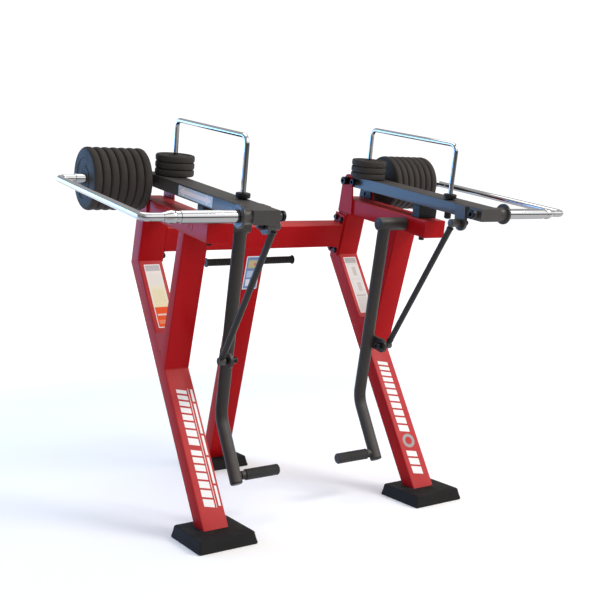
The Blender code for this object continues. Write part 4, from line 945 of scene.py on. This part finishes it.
    def collar_at(h_, s_):
        """Lock nut from the neck side at h_, running in direction s_."""
        return [(h_, ROD_NECK_R), (h_ + s_ * 0.0002, COLLAR_R - 0.0014), (h_ + s_ * 0.0008, COLLAR_R - 0.0010, 6),
                (h_ + s_ * (COLLAR_L - 0.0010), COLLAR_R - 0.0010, 6), (h_ + s_ * (COLLAR_L - 0.0004), COLLAR_R - 0.0016),
                (h_ + s_ * (COLLAR_L - 0.0003), ROD_R - 0.0016), (h_ + s_ * (COLLAR_L + 0.0003), ROD_R - 0.0016),
                (h_ + s_ * (COLLAR_L + 0.0004), ROD_R - 0.0003), (h_ + s_ * (COLLAR_L + 0.0007), ROD_R)]
    prof = [(0.004, 0.0), (0.004, 0.0090), (0.0128, 0.0082)] + thread + collar_at(n0, 1.0)
    prof += [(ln - 0.0720, ROD_R), (ln - 0.0716, ROD_R - 0.0009), (ln - 0.0702, ROD_R - 0.0009), (ln - 0.0698, ROD_R)]
    prof += list(reversed(collar_at(ln - n0, -1.0)))
    prof += [(ln - 0.0160, ROD_NECK_R), (ln - 0.0144, 0.0082), (ln - 0.0132, 0.0084), (ln - 0.0132, 0.0)]
    link("rod_bar_" + side, lathe(prof, a, d, 48), ROD_BLACK, rod_b, ("link_rod_" + side,), angle=30.0)
    e0 = lathe([(0.3682, 0.0079), (0.3676, 0.0095), (0.3676, ROD_EYE_R - 0.0016), (0.3684, ROD_EYE_R - 0.0004), (0.3696, ROD_EYE_R),
                (0.3900, ROD_EYE_R), (0.3914, ROD_EYE_R - 0.0006), (0.3922, ROD_EYE_R - 0.0022), (0.3925, ROD_EYE_R - 0.0045),
                (0.3925, 0.0), (0.3913, 0.0), (0.3913, 0.0079)], lb, ax, 56)
    tbp = (0, TAB_Y, TAB_Z)
    e1 = lathe([(0.3666, 0.0), (0.3666, ROD_EYE_R - 0.0028), (0.3670, ROD_EYE_R - 0.0010), (0.3682, ROD_EYE_R), (0.4052, ROD_EYE_R),
                (0.4067, ROD_EYE_R - 0.0006), (0.4074, ROD_EYE_R - 0.0013), (0.4074, 0.0128), (0.3700, 0.0128), (0.3700, 0.0)], tbp, ax, 56)
    link("rod_eyes_" + side, merge(e0, e1), BLACK, rod_b, angle=32.0)

    # -------------------------------------------------------------- weight arm
    ax0, ax1 = XS - ARM_W / 2, XS + ARM_W / 2
    sp = arm_s(PIV_Y, -ARM_H / 2)
    sf = arm_s(ARM_Y_FRONT, 0.0)
    pts = [arm_point(sf, -ARM_H), arm_point(sf, 0.0), arm_point(sp, 0.0)]
    c = arm_point(sp, -ARM_H / 2)
    for k in range(1, 24):
        t = math.pi / 2 - math.pi * k / 24
        pts.append(c + ES * (ARM_H / 2 * math.cos(t)) + EN * (ARM_H / 2 * math.sin(t)))
    pts.append(arm_point(sp, -ARM_H))
    link("arm_tube_" + side, prism([(p.y, p.z) for p in pts], sx * ax0, sx * ax1, 0.0045), BLACK, arm_b,
         ("weight_arm_" + side,), bevel=0.0013, seg=3, limit=40.0)
    st = arm_s(TAB_Y, -ARM_H)
    t0, t1 = arm_point(st - TAB_R, -0.0008), arm_point(st + TAB_R, -0.0008)
    tab_poly = [(TAB_Y - TAB_R, t0.z), (TAB_Y + TAB_R, t1.z)] + arc(TAB_Y, TAB_Z, TAB_R, 0.0, -math.pi, 30)
    link("arm_tab_" + side, prism(tab_poly, sx * TAB_X0, sx * TAB_X1), BLACK, arm_b, bevel=0.0010, seg=3, limit=28.0)
    wl = []
    for yy in (TAB_Y - TAB_R, TAB_Y + TAB_R):
        s_ = arm_s(yy, 0.0)
        hi, lo = arm_point(s_, -0.004, sx * ax0), arm_point(s_, -ARM_H + 0.004, sx * ax0)
        hi.y = lo.y = yy
        wl.append(bead([hi, lo], EX, 0.0017, False, 8))
    cf = arm_point(arm_s(SLEEVE_Y, -ARM_H / 2), -ARM_H / 2)
    cr = arm_point(arm_s(PIN_Y, -ARM_H / 2), -ARM_H / 2)
    of, orr = Vector((0, cf.y, cf.z)), Vector((0, cr.y, cr.z))
    for oo, rr in ((of, 0.0226), (orr, 0.0166)):
        ring_pts = [oo + EX * (sx * (ax1 + 0.0006)) + Vector((0, math.cos(2 * math.pi * k / 60), math.sin(2 * math.pi * k / 60))) * rr
                    for k in range(60)]
        wl.append(free_bead(ring_pts, 0.0019))
    link("arm_welds_" + side, merge(*wl), BLACK, arm_b, angle=80.0)
    flange_f = lathe([(ax1 - 0.001, 0.0), (ax1 - 0.001, 0.0224), (ax1 + 0.0012, 0.0236), (ax1 + 0.0030, 0.0243), (0.5516, 0.0245), (0.5524, 0.0250),
                      (0.5530, 0.0262), (0.5531, 0.0368), (0.5534, 0.0376), (0.5541, 0.0380), (0.5599, 0.0380), (0.5606, 0.0376), (0.5610, 0.0368),
                      (0.5610, 0.0225), (0.5604, 0.0215), (0.5604, 0.0)], of, ax, 80)
    flange_r = lathe([(ax1 - 0.001, 0.0), (ax1 - 0.001, 0.0160), (0.5472, 0.0160), (0.5480, 0.0170), (0.5481, 0.0290), (0.5488, 0.0298),
                      (0.5554, 0.0298), (0.5561, 0.0290), (0.5561, 0.0)], orr, ax, 64)
    link("arm_collars_" + side, merge(flange_f, flange_r), BLACK, arm_b, angle=38.0)

    # inner tab bolt and its nut
    tb = merge(lathe([(0.3724, 0.0), (0.3724, 0.0040), (0.4085, 0.0040), (0.4085, 0.0)], tbp, ax, 24),
               lathe([(0.4083, 0.0), (0.4083, 0.0112), (0.4088, 0.0115), (TAB_X0 - 0.0006, 0.0115), (TAB_X0 - 0.0003, 0.0110), (TAB_X0 - 0.0003, 0.0)],
                     tbp, ax, 48),
               lathe([(TAB_X1 + 0.0003, 0.0), (TAB_X1 + 0.0003, 0.0120), (TAB_X1 + 0.0020, 0.0122), (TAB_X1 + 0.0024, 0.0106, 6), (TAB_X1 + 0.0150, 0.0106, 6),
                      (TAB_X1 + 0.0160, 0.0104), (TAB_X1 + 0.0166, 0.0090), (0.4478, 0.0088), (0.4486, 0.0082), (0.4489, 0.0070), (0.4489, 0.0)],
                     tbp, ax, 48))
    link("tab_fixing_" + side, tb, OXIDE, arm_b, ("tab_bolt_" + side,), angle=30.0)

    for oo, x_in, hr, sr, end in ((of, 0.3945, 0.0181, 0.0131, "front_"), (orr, 0.3990, 0.0145, 0.0133, "rear_")):
        capx = x_in + (0.0100 if end == "front_" else 0.0120)
        cap_b = merge(socket_head(oo, ax, capx, x_in, hr - 0.0006, 0.0062, 0.006),
                      lathe([(ax0 - 0.006, 0.0), (ax0 - 0.006, 0.0060), (0.6020, 0.0060), (0.6020, 0.0)], oo, ax, 24))
        link("sleeve_screw_" + end + side, cap_b, OXIDE, arm_b, ("sleeve_bolt_" + end + side,), angle=30.0)
        spacer = lathe([(capx + 0.0002, 0.0), (capx + 0.0002, sr - 0.0010), (capx + 0.0010, sr), (ax0 - 0.0008, sr),
                        (ax0 - 0.0002, sr - 0.0006), (ax0 - 0.0002, 0.0)], oo, ax, 56)
        link("screw_spacer_" + end + side, spacer, BLACK, arm_b, angle=30.0)

    # -------------------------------------------------------- chrome load frame
    sl = lathe([(0.605, 0.0), (0.605, 0.0064), (SLEEVE_X0, 0.0064), (SLEEVE_X0, SLEEVE_R - 0.0006), (SLEEVE_X0 + 0.0006, SLEEVE_R),
                (SLEEVE_X1 - 0.0010, SLEEVE_R), (SLEEVE_X1 - 0.0002, SLEEVE_R - 0.0006), (SLEEVE_X1, 0.0174), (SLEEVE_X1 + 0.0010, 0.0174),
                (SLEEVE_X1 + 0.0014, 0.0178), (SLEEVE_X1 + 0.0140, 0.0180), (SLEEVE_X1 + 0.0150, 0.0176), (SLEEVE_X1 + 0.0158, 0.0184),
                (SLEEVE_X1 + 0.0180, 0.0194), (SLEEVE_X1 + 0.0225, 0.0203), (SLEEVE_X1 + 0.0285, 0.0206), (SLEEVE_X1 + 0.0340, 0.0203),
                (SLEEVE_X1 + 0.0420, 0.0176), (SLEEVE_X1 + 0.0500, 0.0146), (STOP_X1 - 0.0022, 0.0138), (STOP_X1 - 0.0018, 0.0122), (STOP_X1, 0.0120), (STOP_X1, 0.0)],
               of, ax, 72)
    link("load_sleeve_tube_" + side, sl, CHROME, arm_b, ("load_sleeve_" + side,), angle=32.0)
    pin = lathe([(0.605, 0.0), (0.605, 0.0064), (PIN_X0, 0.0064), (PIN_X0, PIN_SLEEVE_R - 0.0005), (PIN_X0 + 0.0005, PIN_SLEEVE_R),
                 (PIN_X1 - 0.0012, PIN_SLEEVE_R), (PIN_X1 - 0.0003, PIN_SLEEVE_R - 0.0005), (PIN_X1, PIN_SLEEVE_R - 0.0014), (PIN_X1, 0.0)],
                orr, ax, 64)
    link("plate_pin_tube_" + side, pin, CHROME, arm_b, ("plate_pin_" + side,), angle=32.0)
    ub = fillet([EX * (sx * (STOP_X1 + 0.0001)) + of, EX * (sx * UBAR_X) + of, EX * (sx * UBAR_X) + orr,
                 EX * (sx * (PIN_X1 + 0.0001)) + orr], UBAR_BEND, 20)
    link("u_bar_tube_" + side, sweep(ub, EN, UBAR_R, 48), CHROME, arm_b, ("u_bar_" + side,), angle=60.0)

    # ------------------------------------------------------------------ plates
    for k in range(BIG_N):
        x0 = BIG_X0 + k * BIG_T
        link("plate_%d_%s" % (k + 1, side), big_plate(x0, x0 + BIG_T - 0.0004, orr, ax, k == 0, k == BIG_N - 1), RUBBER,
             stack_b, ("big_plates_" + side,) if k == 0 else (), angle=32.0)
    base = arm_point(LOCK_S1, 0.0, sx * LOCK_X)
    for k in range(SMALL_N):
        h0 = 0.0003 + k * SMALL_T
        link("small_plate_%d_%s" % (k + 1, side), small_plate(h0, h0 + SMALL_T - 0.0004, base, EN), RUBBER,
             small_b, ("small_plates_" + side,) if k == 0 else (), angle=32.0)

    # ------------------------------------------------------------- lock handle
    lx2 = sx * LOCK_X
    lk = fillet([arm_point(LOCK_S0, -ARM_H - 0.026, lx2), arm_point(LOCK_S0, LOCK_H - LOCK_R, lx2),
                 arm_point(LOCK_S1, LOCK_H - LOCK_R, lx2), arm_point(LOCK_S1, -ARM_H + 0.002, lx2)], LOCK_BEND, 18)
    link("hoop_bar_" + side, sweep(lk, EX, LOCK_R, 32), CHROME, arm_b, ("lock_handle_" + side,), angle=60.0)
    kb = arm_point(LOCK_S0, 0.0, lx2)
    knob = lathe([(0.0003, 0.0107), (0.0003, 0.0135), (0.0012, 0.0140), (0.0030, 0.0140), (0.0040, 0.0150), (0.0044, 0.0215),
                  (0.0050, 0.0235), (0.0062, 0.0243), (0.0076, 0.0246), (0.0180, 0.0246), (0.0194, 0.0243), (0.0206, 0.0232), (0.0210, 0.0215),
                  (0.0210, 0.0118), (0.0203, 0.0106), (0.0203, 0.0091), (-ARM_H - 0.0240, 0.0091), (-ARM_H - 0.0240, 0.0112),
                  (-ARM_H - 0.0232, 0.0118, 6), (-ARM_H - 0.0030, 0.0118, 6), (-ARM_H - 0.0024, 0.0124), (-ARM_H - 0.0004, 0.0124),
                  (-ARM_H - 0.0004, 0.0107)], kb, EN, 72)
    link("hoop_knob_" + side, knob, PADS, arm_b, ("lock_knob_" + side,), angle=34.0)

# ----------------------------------------------------------------------- centre
xb = XS - W / 2 - 0.0003 - FLANGE_T
cross = prism([cross_pt(-CROSS_H / 2, -CROSS_D / 2), cross_pt(CROSS_H / 2, -CROSS_D / 2),
               cross_pt(CROSS_H / 2, CROSS_D / 2), cross_pt(-CROSS_H / 2, CROSS_D / 2)], -(xb + 0.001), xb + 0.001)
longs = [e for e in cross.edges if abs(e.verts[0].co.x - e.verts[1].co.x) > 0.2]
bmesh.ops.bevel(cross, geom=longs, offset=CH, offset_type='OFFSET', segments=5, profile=0.5, affect='EDGES')
link("crossbeam_tube", cross, RED, "frame", ("crossbeam",), bevel=0.0005)
wp = []
for side, sx in (("left", -1.0), ("right", 1.0)):
    fl = prism([cross_pt(-FLANGE_H / 2, -FLANGE_D / 2), cross_pt(FLANGE_H / 2, -FLANGE_D / 2),
                cross_pt(FLANGE_H / 2, FLANGE_D / 2), cross_pt(-FLANGE_H / 2, FLANGE_D / 2)], sx * xb, sx * (xb + FLANGE_T))
    link("crossbeam_flange_" + side, fl, RED, "frame", bevel=0.0012, seg=3)
    hu, hn = CROSS_H / 2, FLANGE_D / 2 - 0.0005
    wp.append(bead([yz(cross_pt(hu, -hn), sx * xb), yz(cross_pt(hu, hn), sx * xb)], EX, 0.0024, False, 1))
    wp.append(bead([yz(cross_pt(-hu, -hn), sx * xb), yz(cross_pt(-hu, hn), sx * xb)], EX, 0.0024, False, 2))
RT = math.tan(R)
top_f = cross_pt(-CROSS_H / 2 + 0.002, -CROSS_D / 2)
top_r = (top_f[0] + CN.x * REAR_D, top_f[1] + CN.y * REAR_D)
zf = FOOT_H - 0.004
REAR_POLY = [(top_f[0] + (top_f[1] - zf) * RT, zf), top_f, top_r, (top_r[0] + (top_r[1] - zf) * RT, zf)]
link("rear_leg_tube", prism(REAR_POLY, -W / 2, W / 2, CH), RED, "frame", ("rear_leg",), bevel=0.0005)
for x0 in (-W / 2, W / 2):
    wp.append(bead([yz(cross_pt(-CROSS_H / 2, -CROSS_D / 2 + 0.005), x0), yz(cross_pt(-CROSS_H / 2, CROSS_D / 2 - 0.004), x0)],
                   CU3, 0.0023, False, 3))
link("centre_welds", merge(*wp), RED, "frame", angle=80.0)
foot(0.0, FOOT_REAR_Y, "foot_cap_rear", "foot_rear")
bar = lathe([(-0.2040, 0.0), (-0.2040, HANDLE_R), (0.2040, HANDLE_R), (0.2040, 0.0)], (0, HANDLE_Y, HANDLE_Z), EX, 48)
collar = []
for s in (-1.0, 1.0):
    ring_pts = [Vector((s * (W / 2 + 0.0004), HANDLE_Y + 0.0132 * math.cos(2 * math.pi * k / 48), HANDLE_Z + 0.0132 * math.sin(2 * math.pi * k / 48)))
                for k in range(48)]
    collar.append(free_bead(ring_pts, 0.0016))
link("handle_cross_tube", bar, BLACK, "frame", ("handle_bar",), angle=40.0)
link("handle_welds", merge(*collar), RED, "frame", angle=80.0)


# ----------------------------------------------------------- plain sheet panels
def on_leg(x, v, proud=0.0):
    """Point on a leg's front face: v up it from the top of the foot."""
    p = Vector((x, leg_front(FOOT_H), FOOT_H)) + LEG_UP * v + LEG_OUT * proud
    return p


def sheet_on(name, origin, eu, ev, lu, lv, nrm, mat, body, r=0.003, thick=0.00035):
    bm = slab(rounded(origin - nrm * 0.0001, eu, ev, lu, lv, r), thick, nrm)
    ob = link(name, bm, mat, body, angle=30.0)
    set_uv(ob, origin, eu, ev, lu, lv)
    return ob


CREAM = (0.66, 0.60, 0.47)
label_a = panel("panel_cream_orange", (0.86, 0.86, 0.86), [
    ("fill", (0.05, 0.95, 0.015, 0.985), (0.84, 0.78, 0.50)),
    ("fade", (0.05, 0.95, 0.30, 0.985), (0.84, 0.83, 0.80)),
    ("fill", (0.05, 0.95, 0.895, 0.985), (0.52, 0.52, 0.53)),
    ("fill", (0.14, 0.86, 0.66, 0.850), (0.80, 0.79, 0.74)),
    ("fill", (0.14, 0.86, 0.40, 0.600), (0.81, 0.76, 0.52)),
    ("fill", (0.05, 0.95, 0.015, 0.320), (0.84, 0.085, 0.004)),
    ("fill", (0.14, 0.86, 0.19, 0.215), (0.80, 0.70, 0.66)),
    ("fill", (0.14, 0.86, 0.06, 0.120), (0.84, 0.26, 0.12)),
], 0.42, 0.12)
label_b = panel("panel_pale_grey", (0.82, 0.82, 0.82), [
    ("fill", (0.06, 0.94, 0.015, 0.985), (0.66, 0.655, 0.64)),
    ("fill", (0.06, 0.94, 0.895, 0.985), (0.42, 0.42, 0.42)),
    ("fill", (0.12, 0.88, 0.62, 0.86), (0.70, 0.70, 0.69)),
    ("fill", (0.40, 0.70, 0.66, 0.82), (0.52, 0.52, 0.48)),
    ("fill", (0.12, 0.88, 0.34, 0.58), (0.71, 0.70, 0.69)),
    ("fill", (0.44, 0.76, 0.38, 0.54), (0.56, 0.55, 0.53)),
    ("fill", (0.12, 0.88, 0.300, 0.312), (0.30, 0.30, 0.31)),
    ("fill", (0.12, 0.88, 0.05, 0.27), (0.62, 0.61, 0.60)),
], 0.42, 0.14)
label_c = panel("panel_blue", (0.66, 0.70, 0.74), [
    ("fill", (0.06, 0.94, 0.03, 0.97), (0.125, 0.21, 0.38)),
    ("fill", (0.16, 0.84, 0.64, 0.88), (0.42, 0.38, 0.20)),
    ("dot", (0.52, 0.70, 0.72, 0.80), (0.62, 0.10, 0.07)),
    ("fill", (0.16, 0.84, 0.36, 0.56), (0.36, 0.46, 0.62)),
    ("fill", (0.16, 0.44, 0.10, 0.31), (0.62, 0.66, 0.72)),
    ("fill", (0.54, 0.84, 0.10, 0.31), (0.58, 0.62, 0.68)),
])
label_d = panel("panel_arrow", (0.045, 0.048, 0.056), [
    ("fill", (0.06, 0.94, 0.016, 0.984), (0.47, 0.52, 0.59)),
    ("arrow", (0.10, 0.90, 0.05, 0.95), (0.78, 0.67, 0.68)),
])


def leg_v(z):
    return (z - FOOT_H) / LEG_UP.z


v0, v1 = leg_v(0.719), leg_v(0.951)
sheet_on("panel_leg_left", on_leg(-0.504, v0), EX, LEG_UP, 0.066, v1 - v0, LEG_OUT, label_a, "frame")
sheet_on("panel_leg_right", on_leg(0.439, v0), EX, LEG_UP, 0.065, v1 - v0, LEG_OUT, label_b, "frame")
rear_up = Vector((0.0, -RT, 1.0)).normalized()
rear_out = Vector((0.0, -1.0, -RT)).normalized()
zr0, zr1 = 0.8275, 0.9685
ro = Vector((-0.035, top_f[0] + (top_f[1] - zr0) * RT, zr0))
sheet_on("panel_rear_leg", ro, EX, rear_up, 0.070, (zr1 - zr0) / rear_up.z, rear_out, label_c, "frame")
for side, sx in (("left", -1.0), ("right", 1.0)):
    s0, s1 = arm_s(-0.110, -ARM_H / 2), arm_s(0.155, -ARM_H / 2)
    o = arm_point(s0, -ARM_H + 0.0035, sx * (XS + ARM_W / 2))
    sheet_on("panel_arm_" + side, o, EN, ES, ARM_H - 0.007, s1 - s0, EX * sx, label_d, "arm_" + side, 0.002)


def slant(x0, x1, v_lo, v_hi, lean):
    """Flat slanted block on a leg's front face."""
    return [on_leg(x0, v_lo), on_leg(x1, v_lo + lean), on_leg(x1, v_hi + lean), on_leg(x0, v_hi)]


def blocks(name, rows, mat):
    bm = merge(*[slab([p - LEG_OUT * 0.0001 for p in c], 0.00035, LEG_OUT) for c in rows])
    ob = link(name, bm, mat, "frame", angle=30.0)
    set_uv(ob, (0, 0, 0), EX, UP, 1.0, 1.0)
    return ob


def graded(x0, x1, v_lo, v_hi, first, last, gap, lean):
    """Slanted bars between v_lo and v_hi whose thickness goes evenly from first to last."""
    k = max(2, int(round((v_hi - v_lo + gap) / ((first + last) / 2 + gap))))
    raw = [first + (last - first) * i / (k - 1) for i in range(k)]
    f = (v_hi - v_lo - gap * (k - 1)) / sum(raw)
    out, v_ = [], v_lo
    for t_ in raw:
        out.append(slant(x0, x1, v_, v_ + t_ * f, lean))
        v_ += t_ * f + gap
    return out


blocks("leg_stripe_left_bold", graded(-0.4960, -0.4560, 0.086, 0.296, 0.0270, 0.0190, 0.0075, -0.010)
       + graded(-0.4960, -0.4560, 0.316, 0.530, 0.0270, 0.0150, 0.0075, -0.010), WHITE)
blocks("leg_stripe_left_line", [slant(-0.4500, -0.4480, 0.074, 0.528, 0.0)], WHITE)
rows = []
v = 0.080
for ln_ in (0.074, 0.098, 0.074, 0.116, 0.048):
    rows.append(slant(-0.4405, -0.4315, v, v + ln_, -0.0022))
    v += ln_ + 0.0085
blocks("leg_stripe_left_fine", rows, WHITE)
blocks("leg_stripe_right_bold", graded(0.4440, 0.4920, 0.062, 0.158, 0.0250, 0.0190, 0.0080, -0.010)
       + graded(0.4440, 0.4920, 0.242, 0.553, 0.0280, 0.0150, 0.0080, -0.010), WHITE)
bm = bmesh.new()
cen = on_leg(0.4720, 0.197)
outer, inner = [], []
for k in range(40):
    a_ = 2 * math.pi * k / 40
    e_ = EX * math.cos(a_) + LEG_UP * math.sin(a_)
    outer.append((cen + e_ * 0.029))
    inner.append((cen + e_ * 0.0165))
lo_o = [bm.verts.new(p - LEG_OUT * 0.0001) for p in outer]
lo_i = [bm.verts.new(p - LEG_OUT * 0.0001) for p in inner]
hi_o = [bm.verts.new(p + LEG_OUT * 0.00025) for p in outer]
hi_i = [bm.verts.new(p + LEG_OUT * 0.00025) for p in inner]
for k in range(40):
    j = (k + 1) % 40
    bm.faces.new((hi_o[k], hi_o[j], hi_i[j], hi_i[k]))
    bm.faces.new((lo_o[k], lo_i[k], lo_i[j], lo_o[j]))
    bm.faces.new((lo_o[k], lo_o[j], hi_o[j], hi_o[k]))
    bm.faces.new((lo_i[k], hi_i[k], hi_i[j], lo_i[j]))
link("leg_ring_right", bm, GREY, "frame", angle=30.0)

# carried-over pieces keep their shape and take a worked finish
for side in ("left", "right"):
    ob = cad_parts["lever_bush_" + side]
    for s in ob.material_slots:
        s.material = BRONZE

# ------------------------------------------------------------------------ stage
fl = Nodes("studio_floor")
c = fl.coords()


def fl_vec(op, a, b=None):
    n = fl.t.nodes.new("ShaderNodeVectorMath")
    n.operation = op
    fl.t.links.new(a, n.inputs[0])
    if b is not None:
        n.inputs[1].default_value = b
    return n.outputs["Value"]


far = fl.remap(fl_vec('LENGTH', c), 2.2, 5.0, 0.0, 1.0)
behind = fl.remap(fl_vec('DOT_PRODUCT', c, (0.54, 0.84, 0.0)), -2.0, 2.5, 0.0, 1.0)
tone = fl.mix(fl.remap(fl.noise(c, 0.8, 3.0), 0.3, 0.7, 0.0, 1.0), (0.92, 0.92, 0.92), (0.90, 0.90, 0.905))
ahead = fl.remap(fl_vec('DOT_PRODUCT', c, (0.54, 0.84, 0.0)), -2.7, -1.15, 1.0, 0.0)
fl.set(color=fl.mix(ahead, tone, (0.78, 0.78, 0.785)), rough=0.8, spec=0.05,
       normal=fl.bump(fl.noise(c, 60.0, 3.0), 0.05, 0.0004))
# painted light: the floor glows, a little everywhere to lighten the shadows on it, less in front, and much more far
# behind
fl.put(fl.b.inputs["Emission Color"], (1.0, 1.0, 1.0))
near_glow = fl.math('SUBTRACT', 0.17, fl.math('MULTIPLY', ahead, 0.11))
fl.put(fl.b.inputs["Emission Strength"], fl.math('ADD', near_glow, fl.math('MULTIPLY', fl.math('MULTIPLY', far, behind), 0.52)))
bm = bmesh.new()
bmesh.ops.create_circle(bm, cap_ends=True, cap_tris=False, segments=96, radius=26.0)
me = bpy.data.meshes.new("floor")
bm.to_mesh(me)
bm.free()
me.materials.append(fl.mat)
floor = bpy.data.objects.new("floor", me)
bpy.context.scene.collection.objects.link(floor)
floor.location.z = -0.0004


def area(name, where, at, w, h, power, colour):
    l = bpy.data.lights.new(name, 'AREA')
    l.shape = 'RECTANGLE'
    l.size, l.size_y = w, h
    l.energy = power
    l.color = colour
    o = bpy.data.objects.new(name, l)
    bpy.context.scene.collection.objects.link(o)
    o.location = where
    o.rotation_euler = (Vector(at) - Vector(where)).to_track_quat('-Z', 'Y').to_euler()
    o.visible_camera = False
    return o


area("rim_panel", (-3.4, 4.0, 1.75), (-0.1, 0.0, 0.95), 3.6, 2.3, 172.0, (0.13, 0.45, 1.0))
area("key_box", (2.7, -2.9, 4.1), (0.0, 0.0, 0.7), 1.8, 1.8, 135.0, (1.0, 0.965, 0.92))
area("top_box", (0.0, 0.4, 4.4), (0.0, 0.0, 0.6), 3.0, 3.0, 48.0, (1.0, 0.99, 0.97))

w = bpy.data.worlds.new("studio")
bpy.context.scene.world = w
w.use_nodes = True
t = w.node_tree
t.nodes.clear()
out = t.nodes.new("ShaderNodeOutputWorld")
bg = t.nodes.new("ShaderNodeBackground")
t.links.new(bg.outputs[0], out.inputs[0])
tc = t.nodes.new("ShaderNodeTexCoord")


def wdot(vec):
    n = t.nodes.new("ShaderNodeVectorMath")
    n.operation = 'DOT_PRODUCT'
    t.links.new(tc.outputs["Generated"], n.inputs[0])
    n.inputs[1].default_value = Vector(vec).normalized()
    return n.outputs["Value"]


def wmap(v, a, b, c0, c1):
    n = t.nodes.new("ShaderNodeMapRange")
    n.interpolation_type = 'SMOOTHSTEP'
    t.links.new(v, n.inputs["Value"])
    for k, x in (("From Min", a), ("From Max", b), ("To Min", c0), ("To Max", c1)):
        n.inputs[k].default_value = x
    return n.outputs["Result"]


def wmix(f, a, b):
    n = t.nodes.new("ShaderNodeMix")
    n.data_type = 'RGBA'
    t.links.new(f, n.inputs["Factor"])
    for s, x in ((6, a), (7, b)):
        if isinstance(x, bpy.types.NodeSocket):
            t.links.new(x, n.inputs[s])
        else:
            n.inputs[s].default_value = (*x, 1.0)
    return n.outputs[2]


ZENITH = (0.38, 0.38, 0.385)
front = wmix(wmap(wdot((0.75, -0.66, 0.0)), -0.30, 0.40, 0.0, 1.0), (0.30, 0.30, 0.31), (1.14, 1.14, 1.15))
front = wmix(wmap(wdot((0.0, 0.0, 1.0)), 0.66, 0.84, 0.0, 1.0), front, ZENITH)
back = wmix(wmap(wdot((0.0, 0.0, 1.0)), 0.205, 0.33, 0.0, 1.0), (1.05, 1.05, 1.06), ZENITH)
sky = wmix(wmap(wdot((0.54, 0.84, 0.0)), 0.0, 0.42, 0.0, 1.0), front, back)
t.links.new(sky, bg.inputs["Color"])
bg.inputs["Strength"].default_value = 1.0

cam = bpy.data.cameras.new("camera")
cam.lens = 57.892
cam.sensor_width = 36.0
co = bpy.data.objects.new("camera", cam)
bpy.context.scene.collection.objects.link(co)
co.location = (-2.0056, -3.2702, 1.1867)
co.rotation_euler = Euler((math.radians(84.281), math.radians(0.03), math.radians(-32.684)))
bpy.context.scene.camera = co
vs = bpy.context.scene.view_settings
vs.view_transform = 'Standard'
vs.look = 'None'
vs.exposure = 0.0
vs.gamma = 1.0

bpy.context.view_layer.update()
